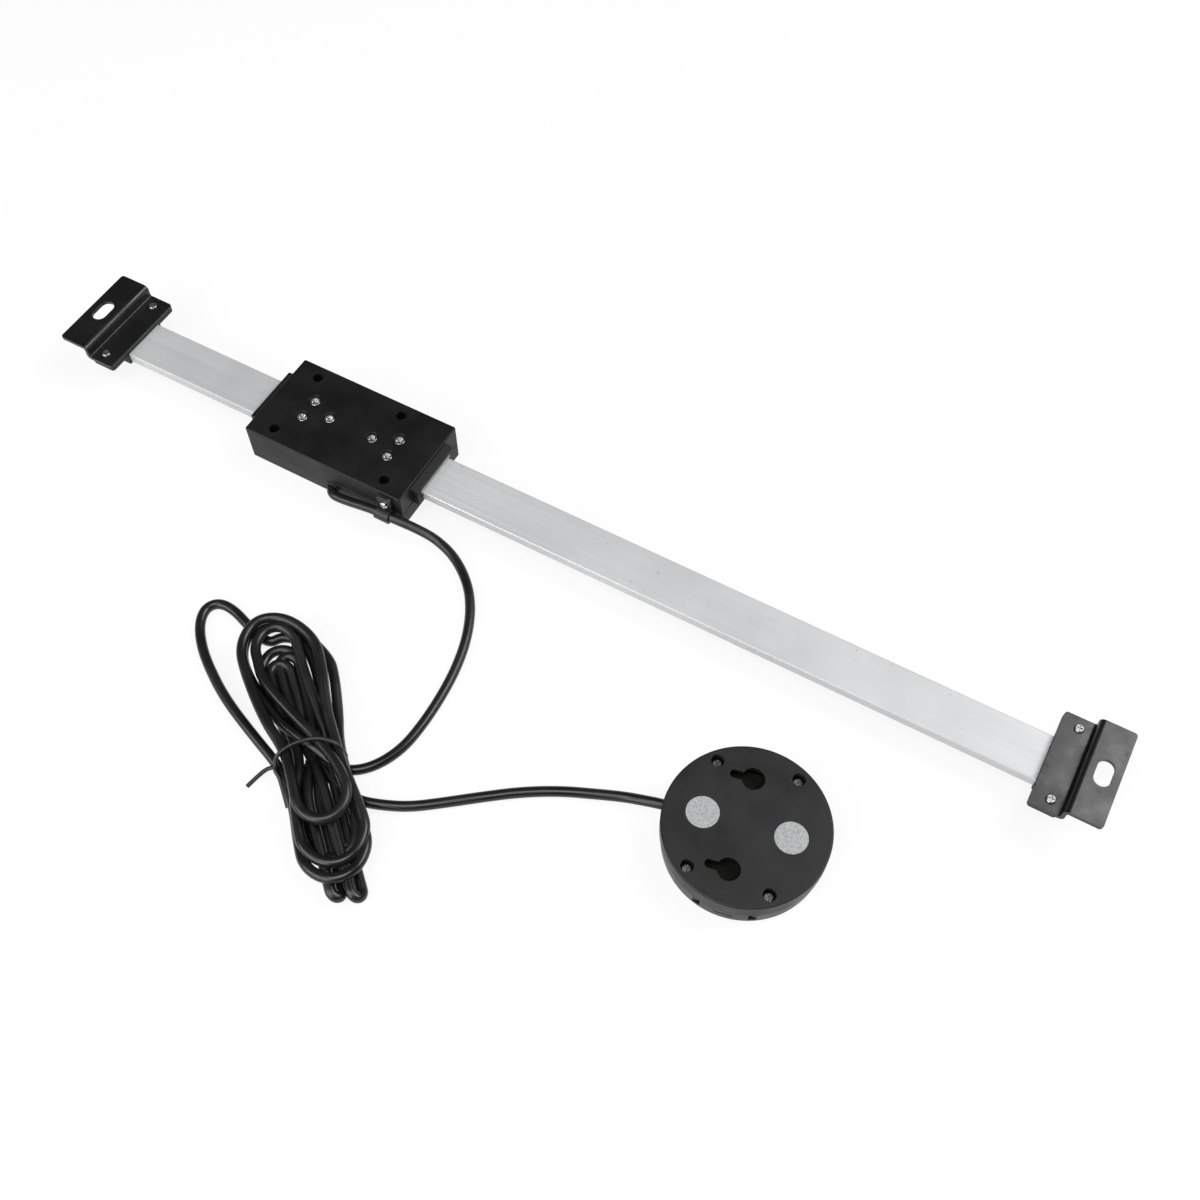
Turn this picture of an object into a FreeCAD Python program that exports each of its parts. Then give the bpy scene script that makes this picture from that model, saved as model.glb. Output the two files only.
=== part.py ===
import FreeCAD, Part
import math
import os
import Sketcher

# A horizontal digital linear scale that lies face down: an aluminium beam with a bracket at each end,
# a reader head that slides along it, and a round remote display on a cable.
# X runs along the beam, Y across it and Z up; the origin is on the floor under the head's centre.

# Driving dimensions in millimetres, angles in degrees
SIZES = {
    # Beam and its scale strip
    "beam_width": 20.0,
    "beam_thickness": 4.5,
    "beam_length": 428.0,
    "beam_edge": 0.4,
    "rail_left": 118.5,
    "strip_width": 14.0,
    "strip_thickness": 0.5,
    "strip_recess": 0.1,
    # End caps that carry the beam
    "cap_grip": 9.7,
    "cap_end": 1.2,
    "cap_side": 0.9,
    "cap_roof": 0.8,
    "cap_floor": 0.6,
    "cap_lip": 0.1,
    "cap_fit": 0.05,
    "ear_plate": 1.5,
    "ear_inset": 0.2,
    "ear_thickness": 3.0,
    "ear_radius": 3.0,
    # Z-bent end brackets
    "bracket_width": 41.0,
    "sheet_thickness": 1.5,
    "flange_inner": 11.6,
    "flange_outer": 12.3,
    "bracket_rise": 5.5,
    "bend_radius": 0.6,
    "bracket_corner": 1.3,
    "slot_width": 6.2,
    "slot_length": 11.0,
    "slot_inset": 6.1,
    "bracket_screw_inset": 6.7,
    "bracket_screw_side": 4.8,
    "bracket_screw_shank": 2.0,
    "bracket_screw_head": 3.7,
    "bracket_screw_rise": 0.9,
    # Reader head
    "head_length": 75.4,
    "head_width": 42.5,
    "head_height": 18.3,
    "head_parting": 8.0,
    "head_corner": 0.8,
    "head_top_edge": 0.4,
    "head_front_edge": 0.6,
    "parting_groove": 0.3,
    "run_gap": 0.1,
    "side_gap": 0.15,
    "nose_length": 3.2,
    "nose_width": 26.6,
    "nose_root_drop": 0.5,
    "nose_tip_drop": 2.5,
    "wiper_width": 21.4,
    "wiper_height": 1.7,
    "wiper_depth": 1.6,
    "gib_length": 19.0,
    "gib_width": 14.6,
    "gib_thickness": 0.9,
    "piece_fit": 0.05,
    "set_screw": 5.0,
    "set_screw_rim": 0.25,
    "set_screw_sink": 0.5,
    "set_screw_socket": 2.0,
    "set_screw_inner_x": 10.5,
    "set_screw_outer_x": 20.9,
    "set_screw_y": 4.7,
    "mount_hole": 4.5,
    "mount_hole_depth": 5.2,
    "mount_hole_side": 5.75,
    "mount_hole_left_inset": 10.7,
    "mount_hole_near_inset": 10.9,
    "mount_hole_far_inset": 23.0,
    "cover_screw_inset": 4.3,
    "cover_screw_side": 5.25,
    "cover_screw_shank": 2.4,
    "cover_screw_head": 4.4,
    "cover_screw_head_height": 1.6,
    "cover_screw_sink": 0.4,
    "cover_screw_bite": 5.0,
    "board_end_margin": 6.7,
    "board_side_margin": 8.25,
    "board_thickness": 1.2,
    "board_sink": 0.4,
    "board_ledge": 2.0,
    "front_floor": 2.0,
    # Cable, its outlet on the head and its clip
    "cable_diameter": 4.0,
    "outlet_x": 3.3,
    "outlet_z": 4.6,
    "outlet_hole": 5.2,
    "outlet_hole_depth": 5.2,
    "wire_way": 2.6,
    "grommet_length": 4.0,
    "grommet_flange": 0.6,
    "grommet_flange_size": 6.2,
    "clip_inset": 6.8,
    "clip_cable_z": 7.8,
    "clip_screw_z": 12.6,
    "clip_width": 6.4,
    "clip_strap": 0.8,
    "clip_tab_top": 17.2,
    "clip_corner": 1.2,
    "clip_screw_shank": 2.0,
    "clip_screw_head": 3.6,
    "clip_screw_rise": 0.9,
    "clip_screw_bite": 3.8,
    # Hank of spare cable and its wire tie
    "hank_x": 67.0,
    "hank_y": -125.0,
    "hank_turn": -42.0,
    "hank_top": 64.0,
    "hank_bottom": 60.0,
    "hank_top_half": 17.5,
    "hank_waist_half": 11.0,
    "hank_bottom_half": 12.0,
    "hank_height": 10.4,
    "hank_edge": 3.4,
    "tie_diameter": 1.6,
    # Round remote display
    "display_x": 217.2,
    "display_y": -76.2,
    "display_turn": 11.5,
    "display_diameter": 60.4,
    "display_thickness": 15.0,
    "display_front_height": 8.6,
    "display_wall": 2.0,
    "display_back_wall": 2.2,
    "display_edge": 0.6,
    "display_draft": 0.8,
    "face_sink": 0.5,
    "face_thickness": 1.6,
    "face_rim": 1.7,
    "display_screw_left_x": 15.9,
    "display_screw_left_y": 20.6,
    "display_screw_right_x": 13.45,
    "display_screw_right_y": 22.1,
    "display_post": 5.4,
    "display_screw_hole": 4.8,
    "display_screw_head": 4.2,
    "display_screw_head_height": 1.4,
    "display_screw_head_sink": 3.0,
    "display_screw_shank": 2.0,
    "display_screw_length": 7.5,
    "magnet_diameter": 12.0,
    "magnet_thickness": 1.5,
    "magnet_sink": 0.1,
    "magnet_x": 15.9,
    "keyhole_x": -2.0,
    "keyhole_y": 17.5,
    "keyhole_diameter": 8.4,
    "keyhole_slot": 3.2,
    "keyhole_reach": 7.0,
    "window_x": -8.0,
    "window_length": 38.0,
    "window_height": 18.0,
    "window_thickness": 0.9,
    "window_ledge": 1.5,
    "lcd_length": 35.4,
    "lcd_height": 17.0,
    "lcd_thickness": 1.5,
    "button_x": 16.0,
    "button_pitch": 10.0,
    "button_diameter": 5.5,
    "button_gap": 0.2,
    "button_sink": 0.3,
    "button_flange": 7.0,
    "button_flange_thickness": 0.7,
    "button_travel": 0.6,
    "mat_length": 30.0,
    "mat_width": 8.4,
    "mat_cover": 0.8,
    "logic_radius": 22.2,
    "logic_thickness": 1.2,
    "logic_height": 8.2,
    "peg_radius": 1.1,
    "peg_circle": 21.5,
    "drawer_half": 11.2,
    "drawer_gap": 0.15,
    "drawer_sink": 0.3,
    "drawer_bottom": 2.55,
    "drawer_top": 7.85,
    "drawer_front": 2.6,
    "tray_bottom": 3.75,
    "tray_floor": 0.6,
    "tray_end": 6.6,
    "cell_diameter": 20.0,
    "cell_thickness": 3.2,
    "cell_gap": 0.15,
    "grip_start": 8.6,
    "grip_margin": 0.4,
    "nail_length": 7.0,
    "nail_height": 0.9,
    "nail_depth": 1.0,
    "contact_length": 12.0,
    "contact_width": 4.0,
    "contact_thickness": 0.3,
    "bush_hole": 5.2,
    "bush_z": 5.6,
    "bush_y": 2.5,
}


class Dim:
    """A length that carries its number now and the sheet expression that gives it."""

    def __init__(self, number, text):
        self.number = number
        self.text = text

    def __add__(self, other):
        return Dim(self.number + number(other), f"({self.text} + {text(other)})")

    def __sub__(self, other):
        return Dim(self.number - number(other), f"({self.text} - {text(other)})")

    def __mul__(self, factor):
        return Dim(self.number * number(factor), f"({self.text} * {text(factor)})")

    def __truediv__(self, factor):
        return Dim(self.number / number(factor), f"({self.text} / {text(factor)})")

    def __neg__(self):
        return self * -1


def number(size):
    return size.number if isinstance(size, Dim) else float(size)


def text(size):
    return size.text if isinstance(size, Dim) else repr(float(size))


ZERO = Dim(0.0, "0.0")


class Sizes:
    """The sheet's cells, one attribute for each alias."""


doc = FreeCAD.newDocument("digital_linear_scale")
sheet = doc.addObject("Spreadsheet::Sheet", "sizes")
d = Sizes()
for row, (alias, size) in enumerate(SIZES.items(), start=1):
    sheet.set(f"A{row}", alias)
    sheet.set(f"B{row}", str(size))
    sheet.setAlias(f"B{row}", alias)
    setattr(d, alias, Dim(size, f"sizes.{alias}"))
doc.recompute()

pieces = []


# Drawing helpers

def bind(thing, path, size):
    thing.setExpression(path, text(size))


def new_piece(label):
    body = doc.addObject("PartDesign::Body", label)
    body.Label = label
    body.AllowCompound = True
    pieces.append(body)
    return body


def put(body, x=0.0, y=0.0, z=0.0, turn=0.0):
    """Gives a piece its place, and its turn about Z."""
    upright = FreeCAD.Rotation(FreeCAD.Vector(0, 0, 1), number(turn))
    body.Placement = FreeCAD.Placement(FreeCAD.Vector(number(x), number(y), number(z)), upright)
    bind(body, "Placement.Base.x", x)
    bind(body, "Placement.Base.y", y)
    bind(body, "Placement.Base.z", z)
    if isinstance(turn, Dim):
        bind(body, "Placement.Rotation.Angle", turn)


def sketch_on(body, plane, offset=0.0):
    """An empty sketch on one of the piece's own planes, moved along that plane's normal."""
    sketch = body.newObject("Sketcher::SketchObject", body.Name + "_sketch")
    support = [feature for feature in body.Origin.OriginFeatures if feature.Role == plane][0]
    sketch.AttachmentSupport = (support, [""])
    sketch.MapMode = "FlatFace"
    bind(sketch, "AttachmentOffset.Base.z", offset)
    return sketch


def hold(sketch, kind, geometry, point, size):
    """Ties a point of the sketch to a distance from the sketch's origin."""
    index = sketch.addConstraint(Sketcher.Constraint(kind, -1, 1, geometry, point, number(size)))
    bind(sketch, f"Constraints[{index}]", size)


def hold_point(sketch, geometry, point, x, y):
    hold(sketch, "DistanceX", geometry, point, x)
    hold(sketch, "DistanceY", geometry, point, y)


def hold_radius(sketch, geometry, radius):
    index = sketch.addConstraint(Sketcher.Constraint("Radius", geometry, number(radius)))
    bind(sketch, f"Constraints[{index}]", radius)


def draw_outline(sketch, corners):
    """A closed outline of straight sides."""
    points = [FreeCAD.Vector(number(x), number(y), 0) for x, y in corners]
    count = len(points)
    lines = []
    for index in range(count):
        side = Part.LineSegment(points[index], points[(index + 1) % count])
        lines.append(sketch.addGeometry(side, False))
    for index in range(count):
        following = lines[(index + 1) % count]
        sketch.addConstraint(Sketcher.Constraint("Coincident", lines[index], 2, following, 1))
    for line, (x, y) in zip(lines, corners):
        hold_point(sketch, line, 1, x, y)


def draw_box(sketch, x_low, x_high, y_low, y_high):
    draw_outline(sketch, [(x_low, y_low), (x_high, y_low), (x_high, y_high), (x_low, y_high)])


def draw_circle(sketch, x, y, radius):
    centre = FreeCAD.Vector(number(x), number(y), 0)
    circle = sketch.addGeometry(Part.Circle(centre, FreeCAD.Vector(0, 0, 1), number(radius)), False)
    hold_point(sketch, circle, 3, x, y)
    hold_radius(sketch, circle, radius)


def draw_slot(sketch, start, end, radius):
    """A round-ended slot between two centres that lie on one line along the sketch's x or y."""
    first = FreeCAD.Vector(number(start[0]), number(start[1]), 0)
    last = FreeCAD.Vector(number(end[0]), number(end[1]), 0)
    along = (last - first).normalize()
    side = FreeCAD.Vector(-along.y, along.x, 0) * number(radius)
    tip = along * number(radius)
    arc_first = sketch.addGeometry(Part.Arc(first + side, first - tip, first - side), False)
    line_low = sketch.addGeometry(Part.LineSegment(first - side, last - side), False)
    arc_last = sketch.addGeometry(Part.Arc(last - side, last + tip, last + side), False)
    line_high = sketch.addGeometry(Part.LineSegment(last + side, first + side), False)
    ring = [(arc_first, 2, line_low, 1), (line_low, 2, arc_last, 1)]
    ring += [(arc_last, 2, line_high, 1), (line_high, 2, arc_first, 1)]
    for ends in ring:
        sketch.addConstraint(Sketcher.Constraint("Tangent", *ends))
    sketch.addConstraint(Sketcher.Constraint("Equal", arc_first, arc_last))
    hold_point(sketch, arc_first, 3, *start)
    hold_point(sketch, arc_last, 3, *end)
    hold_radius(sketch, arc_first, radius)


def draw_hexagon(sketch, x, y, radius):
    corners = []
    for corner in range(6):
        angle = math.radians(60 * corner)
        corners.append((x + radius * math.cos(angle), y + radius * math.sin(angle)))
    draw_outline(sketch, corners)


def grow(body, sketch, depth):
    """Material from the sketch along its plane's normal."""
    feature = body.newObject("PartDesign::Pad", body.Name + "_pad")
    feature.Profile = sketch
    bind(feature, "Length", depth)
    doc.recompute()
    return feature


def cut(body, sketch, depth):
    """A cut from the sketch along its plane's normal."""
    before = body.Tip.Shape.Volume
    feature = body.newObject("PartDesign::Pocket", body.Name + "_pocket")
    feature.Profile = sketch
    feature.Reversed = True
    bind(feature, "Length", depth)
    doc.recompute()
    if feature.Shape.Volume >= before:
        raise RuntimeError(f"{feature.Name} cuts nothing")
    return feature


def revolve(body, profile):
    """A solid of revolution about Z from (radius, height) corners."""
    sketch = sketch_on(body, "XZ_Plane")
    draw_outline(sketch, profile)
    feature = body.newObject("PartDesign::Revolution", body.Name + "_turned")
    feature.Profile = sketch
    feature.ReferenceAxis = (sketch, ["V_Axis"])
    feature.Angle = 360.0
    doc.recompute()
    return feature


def dress(body, kind, size_name, size, wanted):
    """A fillet or chamfer on the edges that pass the test."""
    base = body.Tip
    names = [f"Edge{i}" for i, edge in enumerate(base.Shape.Edges, start=1) if wanted(edge)]
    if not names:
        raise RuntimeError(f"{body.Name} has no edge to dress")
    feature = body.newObject(kind, body.Name + "_edge")
    feature.Base = (base, names)
    bind(feature, size_name, size)
    doc.recompute()
    return feature


def fillet(body, radius, wanted):
    return dress(body, "PartDesign::Fillet", "Radius", radius, wanted)


def chamfer(body, size, wanted):
    return dress(body, "PartDesign::Chamfer", "Size", size, wanted)


NEAR = 1e-4


def level(edge, axis, size):
    """Whether the whole edge lies at one value of x, y or z."""
    box = edge.BoundBox
    low = getattr(box, axis.upper() + "Min")
    high = getattr(box, axis.upper() + "Max")
    return abs(low - number(size)) < NEAR and abs(high - number(size)) < NEAR


def either_side(edge, axis, size):
    return level(edge, axis, size) or level(edge, axis, -size)


# Levels that several pieces share

beam_bottom = d.head_parting + d.run_gap
beam_top = beam_bottom + d.beam_thickness
flange_underside = beam_top + d.cap_fit + d.cap_roof
flange_top = flange_underside + d.sheet_thickness
cap_left_x = d.cap_grip - d.rail_left
cap_right_x = d.beam_length - d.rail_left - d.cap_grip
near_wall = -d.head_width / 2
head_end = d.head_length / 2
bracket_screw_y = d.bracket_width / 2 - d.bracket_screw_side
mount_hole_y = d.head_width / 2 - d.mount_hole_side
cover_screw_x = head_end - d.cover_screw_inset
cover_screw_y = d.head_width / 2 - d.cover_screw_side
board_length = d.head_length - d.board_end_margin * 2
board_width = d.head_width - d.board_side_margin * 2
clip_x = head_end - d.clip_inset
clip_inner = d.cable_diameter / 2 + d.piece_fit
clip_outer = clip_inner + d.clip_strap
cable_radius = d.cable_diameter / 2


# The rail: beam, scale strip, end caps and brackets

def make_beam():
    body = new_piece("beam")
    half = d.beam_width / 2
    groove = d.strip_width / 2 + d.cap_fit
    groove_top = d.strip_thickness + d.strip_recess
    sketch = sketch_on(body, "YZ_Plane")
    draw_outline(sketch, [
        (-half, 0.0), (-groove, 0.0), (-groove, groove_top), (groove, groove_top),
        (groove, 0.0), (half, 0.0), (half, d.beam_thickness), (-half, d.beam_thickness),
    ])
    grow(body, sketch, d.beam_length)
    chamfer(body, d.beam_edge, lambda edge: either_side(edge, "y", half)
            and edge.Length > d.beam_length.number / 2)
    put(body, -d.rail_left, 0.0, beam_bottom)


def make_scale_strip():
    body = new_piece("scale_strip")
    sketch = sketch_on(body, "YZ_Plane")
    half = d.strip_width / 2
    draw_box(sketch, -half, half, d.strip_recess, d.strip_recess + d.strip_thickness)
    grow(body, sketch, d.beam_length)
    put(body, -d.rail_left, 0.0, beam_bottom)


def make_end_cap(label, x, turn):
    """A moulded cap that takes the beam's end, with a plate and two bosses under the bracket's flange."""
    body = new_piece(label)
    length = d.cap_grip + d.cap_fit + d.cap_end
    half = d.beam_width / 2 + d.cap_fit + d.cap_side
    cavity_half = d.beam_width / 2 + d.cap_fit
    cavity_top = d.cap_floor + d.beam_thickness + d.cap_fit * 2
    height = cavity_top + d.cap_roof
    screw_x = d.cap_lip + d.bracket_screw_inset
    sketch = sketch_on(body, "XY_Plane")
    draw_box(sketch, 0.0, length, -half, half)
    grow(body, sketch, height)
    plate = sketch_on(body, "XY_Plane", height - d.ear_plate)
    reach = d.bracket_width / 2 - d.ear_inset
    draw_box(plate, 0.0, length, -reach, reach)
    grow(body, plate, d.ear_plate)
    fillet(body, d.bracket_corner, lambda edge: either_side(edge, "y", reach)
           and level(edge, "x", edge.BoundBox.XMin))
    bosses = sketch_on(body, "XY_Plane", height - d.ear_thickness)
    for side in (-1, 1):
        draw_circle(bosses, screw_x, bracket_screw_y * side, d.ear_radius)
    grow(body, bosses, d.ear_thickness)
    hollow = sketch_on(body, "YZ_Plane")
    draw_box(hollow, -cavity_half, cavity_half, d.cap_floor, cavity_top)
    cut(body, hollow, d.cap_grip + d.cap_fit)
    pilots = sketch_on(body, "XY_Plane", height - d.ear_thickness)
    for side in (-1, 1):
        draw_circle(pilots, screw_x, bracket_screw_y * side, d.bracket_screw_shank / 2 + d.piece_fit)
    cut(body, pilots, d.ear_thickness)
    put(body, x, 0.0, beam_bottom - d.cap_fit - d.cap_floor, turn)


def make_bracket(label, x, turn):
    """Sheet steel bent into a Z: a low flange on the cap and a high flange with the fixing slot."""
    body = new_piece(label)
    half = d.bracket_width / 2
    riser_far = d.flange_inner + d.sheet_thickness
    end = riser_far + d.flange_outer
    top = d.bracket_rise + d.sheet_thickness
    sketch = sketch_on(body, "XZ_Plane", -half)
    draw_outline(sketch, [
        (0.0, 0.0), (riser_far, 0.0), (riser_far, d.bracket_rise), (end, d.bracket_rise),
        (end, top), (d.flange_inner, top), (d.flange_inner, d.sheet_thickness), (0.0, d.sheet_thickness),
    ])
    grow(body, sketch, d.bracket_width)

    def inner_bend(edge):
        upper = level(edge, "x", riser_far) and level(edge, "z", d.bracket_rise)
        return upper or (level(edge, "x", d.flange_inner) and level(edge, "z", d.sheet_thickness))

    def outer_bend(edge):
        lower = level(edge, "x", riser_far) and level(edge, "z", 0.0)
        return lower or (level(edge, "x", d.flange_inner) and level(edge, "z", top))

    fillet(body, d.bend_radius, inner_bend)
    fillet(body, d.bend_radius + d.sheet_thickness, outer_bend)
    fillet(body, d.bracket_corner, lambda edge: either_side(edge, "y", half)
           and (level(edge, "x", 0.0) or level(edge, "x", end)))
    slot = sketch_on(body, "XY_Plane", d.bracket_rise)
    slot_x = end - d.slot_inset
    slot_y = d.slot_length / 2 - d.slot_width / 2
    draw_slot(slot, (slot_x, -slot_y), (slot_x, slot_y), d.slot_width / 2)
    cut(body, slot, d.sheet_thickness)
    holes = sketch_on(body, "XY_Plane")
    for side in (-1, 1):
        hole_radius = d.bracket_screw_shank / 2 + d.piece_fit * 2
        draw_circle(holes, d.bracket_screw_inset, bracket_screw_y * side, hole_radius)
    cut(body, holes, d.sheet_thickness)
    put(body, x, 0.0, flange_underside, turn)


def add_cross_recess(body, places, height, width):
    """A cross slot in the top of each screw head."""
    thin = width / 5
    reach = width / 2
    depth = height / 2
    for half_x, half_y in ((reach, thin / 2), (thin / 2, reach)):
        recess = sketch_on(body, "XY_Plane", height - depth)
        for x, y in places:
            draw_box(recess, x - half_x, x + half_x, y - half_y, y + half_y)
        cut(body, recess, depth)


def make_pan_screws(label, places, head, rise, shank, length):
    """Pan-head screws that stand on the plane z = 0, with their shanks below it."""
    body = new_piece(label)
    shanks = sketch_on(body, "XY_Plane", -length)
    for x, y in places:
        draw_circle(shanks, x, y, shank / 2)
    grow(body, shanks, length)
    heads = sketch_on(body, "XY_Plane")
    for x, y in places:
        draw_circle(heads, x, y, head / 2)
    grow(body, heads, rise)
    chamfer(body, rise * 0.45, lambda edge: level(edge, "z", rise))
    add_cross_recess(body, places, rise, head * 0.6)
    return body


def make_bracket_screws():
    offset = d.cap_lip + d.bracket_screw_inset
    places = []
    for x in (cap_left_x - offset, cap_right_x + offset):
        for side in (-1, 1):
            places.append((x, bracket_screw_y * side))
    length = d.sheet_thickness + d.ear_thickness
    body = make_pan_screws("bracket_screws", places, d.bracket_screw_head, d.bracket_screw_rise,
                           d.bracket_screw_shank, length)
    put(body, 0.0, 0.0, flange_top)


# The reader head

def is_corner(edge, half_length, half_width):
    return either_side(edge, "x", half_length) and either_side(edge, "y", half_width)


def draw_set_screw_places(sketch, draw, size):
    for side in (-1, 1):
        draw(sketch, d.set_screw_inner_x * side, ZERO, size)
        for across in (-1, 1):
            draw(sketch, d.set_screw_outer_x * side, d.set_screw_y * across, size)


def draw_cover_screw_places(sketch, radius):
    for x_side in (-1, 1):
        for y_side in (-1, 1):
            draw_circle(sketch, cover_screw_x * x_side, cover_screw_y * y_side, radius)


def gib_span():
    middle = (d.set_screw_inner_x + d.set_screw_outer_x) / 2
    return middle - d.gib_length / 2, middle + d.gib_length / 2


def cut_gib_boxes(sketch, margin):
    low, high = gib_span()
    half = d.gib_width / 2 + margin
    draw_box(sketch, low - margin, high + margin, -half, half)
    draw_box(sketch, -high - margin, -low + margin, -half, half)


def make_head_back_cover():
    """The main housing: the beam's channel, a sloped nose at each end, and the fixing holes."""
    body = new_piece("head_back_cover")
    half_length = d.head_length / 2
    half_width = d.head_width / 2
    height = d.head_height - d.head_parting
    block = sketch_on(body, "XY_Plane")
    draw_box(block, -half_length, half_length, -half_width, half_width)
    grow(body, block, height)
    fillet(body, d.head_corner, lambda edge: is_corner(edge, half_length, half_width))
    chamfer(body, d.head_top_edge, lambda edge: level(edge, "z", height))
    chamfer(body, d.parting_groove, lambda edge: level(edge, "z", 0.0))
    nose = sketch_on(body, "XZ_Plane", -d.nose_width / 2)
    tip = half_length + d.nose_length
    root = half_length - d.nose_length
    for side in (-1, 1):
        draw_outline(nose, [
            (root * side, 0.0), (tip * side, 0.0),
            (tip * side, height - d.nose_tip_drop), (root * side, height - d.nose_root_drop),
        ])
    grow(body, nose, d.nose_width)
    channel_top = d.beam_thickness + d.run_gap * 2
    channel_half = d.beam_width / 2 + d.side_gap
    channel = sketch_on(body, "YZ_Plane", -tip)
    draw_box(channel, -channel_half, channel_half, 0.0, channel_top)
    cut(body, channel, tip * 2)
    gibs = sketch_on(body, "XY_Plane", channel_top)
    cut_gib_boxes(gibs, d.piece_fit)
    cut(body, gibs, d.gib_thickness)
    wiper_half = d.wiper_width / 2 + d.piece_fit
    wiper_top = channel_top + d.wiper_height
    for start in (-tip, tip - d.wiper_depth - d.piece_fit):
        wiper = sketch_on(body, "YZ_Plane", start)
        draw_box(wiper, -wiper_half, wiper_half, channel_top - d.run_gap, wiper_top)
        cut(body, wiper, d.wiper_depth + d.piece_fit)
    screws = sketch_on(body, "XY_Plane", channel_top)
    draw_set_screw_places(screws, draw_circle, d.set_screw / 2 + d.piece_fit)
    cut(body, screws, height - channel_top)
    chamfer(body, d.set_screw_rim, lambda edge: level(edge, "z", height) and edge.isClosed())
    mounts = sketch_on(body, "XY_Plane", height - d.mount_hole_depth)
    left_x = d.mount_hole_left_inset - head_end
    far_x = head_end - d.mount_hole_far_inset
    near_x = head_end - d.mount_hole_near_inset
    for x, side in ((left_x, 1), (left_x, -1), (far_x, 1), (near_x, -1)):
        draw_circle(mounts, x, mount_hole_y * side, d.mount_hole / 2)
    cut(body, mounts, d.mount_hole_depth)
    bites = sketch_on(body, "XY_Plane")
    draw_cover_screw_places(bites, d.cover_screw_shank / 2 + d.piece_fit)
    cut(body, bites, d.cover_screw_bite)
    clip_hole = sketch_on(body, "XZ_Plane", -(near_wall + d.clip_screw_bite))
    draw_circle(clip_hole, clip_x, d.clip_screw_z - d.head_parting, d.clip_screw_shank / 2 + d.piece_fit)
    cut(body, clip_hole, d.clip_screw_bite)
    put(body, 0.0, 0.0, d.head_parting)


def make_head_front_cover():
    """The lower cover that faces the floor: a stepped pocket for the board, and the cable's outlet."""
    body = new_piece("head_front_cover")
    half_length = d.head_length / 2
    half_width = d.head_width / 2
    block = sketch_on(body, "XY_Plane")
    draw_box(block, -half_length, half_length, -half_width, half_width)
    grow(body, block, d.head_parting)
    fillet(body, d.head_corner, lambda edge: is_corner(edge, half_length, half_width))
    chamfer(body, d.head_front_edge, lambda edge: level(edge, "z", 0.0))
    chamfer(body, d.parting_groove, lambda edge: level(edge, "z", d.head_parting))
    board_low = d.head_parting - d.board_sink - d.board_thickness
    seat = sketch_on(body, "XY_Plane", board_low)
    board_half = board_length / 2 + d.piece_fit
    board_side = board_width / 2 + d.piece_fit
    draw_box(seat, -board_half, board_half, -board_side, board_side)
    cut(body, seat, d.board_sink + d.board_thickness)
    well = sketch_on(body, "XY_Plane", d.front_floor)
    well_half = board_half - d.board_ledge
    well_side = board_side - d.board_ledge
    draw_box(well, -well_half, well_half, -well_side, well_side)
    cut(body, well, board_low - d.front_floor)
    outlet = sketch_on(body, "XZ_Plane", -(near_wall + d.outlet_hole_depth))
    draw_circle(outlet, d.outlet_x, d.outlet_z, d.outlet_hole / 2)
    cut(body, outlet, d.outlet_hole_depth)
    wires = sketch_on(body, "XZ_Plane", well_side)
    draw_circle(wires, d.outlet_x, d.outlet_z, d.wire_way / 2)
    cut(body, wires, d.head_width / 2 - d.outlet_hole_depth - well_side)
    through = sketch_on(body, "XY_Plane")
    draw_cover_screw_places(through, d.cover_screw_shank / 2 + d.piece_fit * 2)
    cut(body, through, d.head_parting)
    counterbores = sketch_on(body, "XY_Plane")
    draw_cover_screw_places(counterbores, d.cover_screw_head / 2 + d.piece_fit * 2)
    cut(body, counterbores, d.cover_screw_sink + d.cover_screw_head_height)
    put(body)


def make_head_cover_screws():
    """Four screws driven from the front into the back cover."""
    body = new_piece("head_cover_screws")
    head_low = d.cover_screw_sink
    head_high = d.cover_screw_sink + d.cover_screw_head_height
    heads = sketch_on(body, "XY_Plane", head_low)
    draw_cover_screw_places(heads, d.cover_screw_head / 2)
    grow(body, heads, d.cover_screw_head_height)
    chamfer(body, d.cover_screw_head_height * 0.4, lambda edge: level(edge, "z", head_low))
    shanks = sketch_on(body, "XY_Plane", head_high)
    draw_cover_screw_places(shanks, d.cover_screw_shank / 2)
    grow(body, shanks, d.head_parting - head_high + d.cover_screw_bite - d.run_gap)
    width = d.cover_screw_head * 0.55
    for half_x, half_y in ((width / 2, width / 10), (width / 10, width / 2)):
        recess = sketch_on(body, "XY_Plane", head_low)
        for x_side in (-1, 1):
            for y_side in (-1, 1):
                x = cover_screw_x * x_side
                y = cover_screw_y * y_side
                draw_box(recess, x - half_x, x + half_x, y - half_y, y + half_y)
        cut(body, recess, d.cover_screw_head_height / 2)
    put(body)


def make_reader_board():
    body = new_piece("reader_board")
    board = sketch_on(body, "XY_Plane")
    draw_box(board, -board_length / 2, board_length / 2, -board_width / 2, board_width / 2)
    grow(body, board, d.board_thickness)
    chip = sketch_on(body, "XY_Plane", -d.board_thickness)
    chip_half = board_width / 5
    draw_box(chip, -chip_half, chip_half, -chip_half, chip_half)
    grow(body, chip, d.board_thickness)
    put(body, 0.0, 0.0, d.head_parting - d.board_sink - d.board_thickness)


def make_gib_plates():
    """Two bearing plates that the set screws press towards the beam."""
    body = new_piece("gib_plates")
    plates = sketch_on(body, "XY_Plane")
    cut_gib_boxes(plates, 0.0)
    grow(body, plates, d.gib_thickness)
    put(body, 0.0, 0.0, beam_top + d.run_gap / 2)


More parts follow.
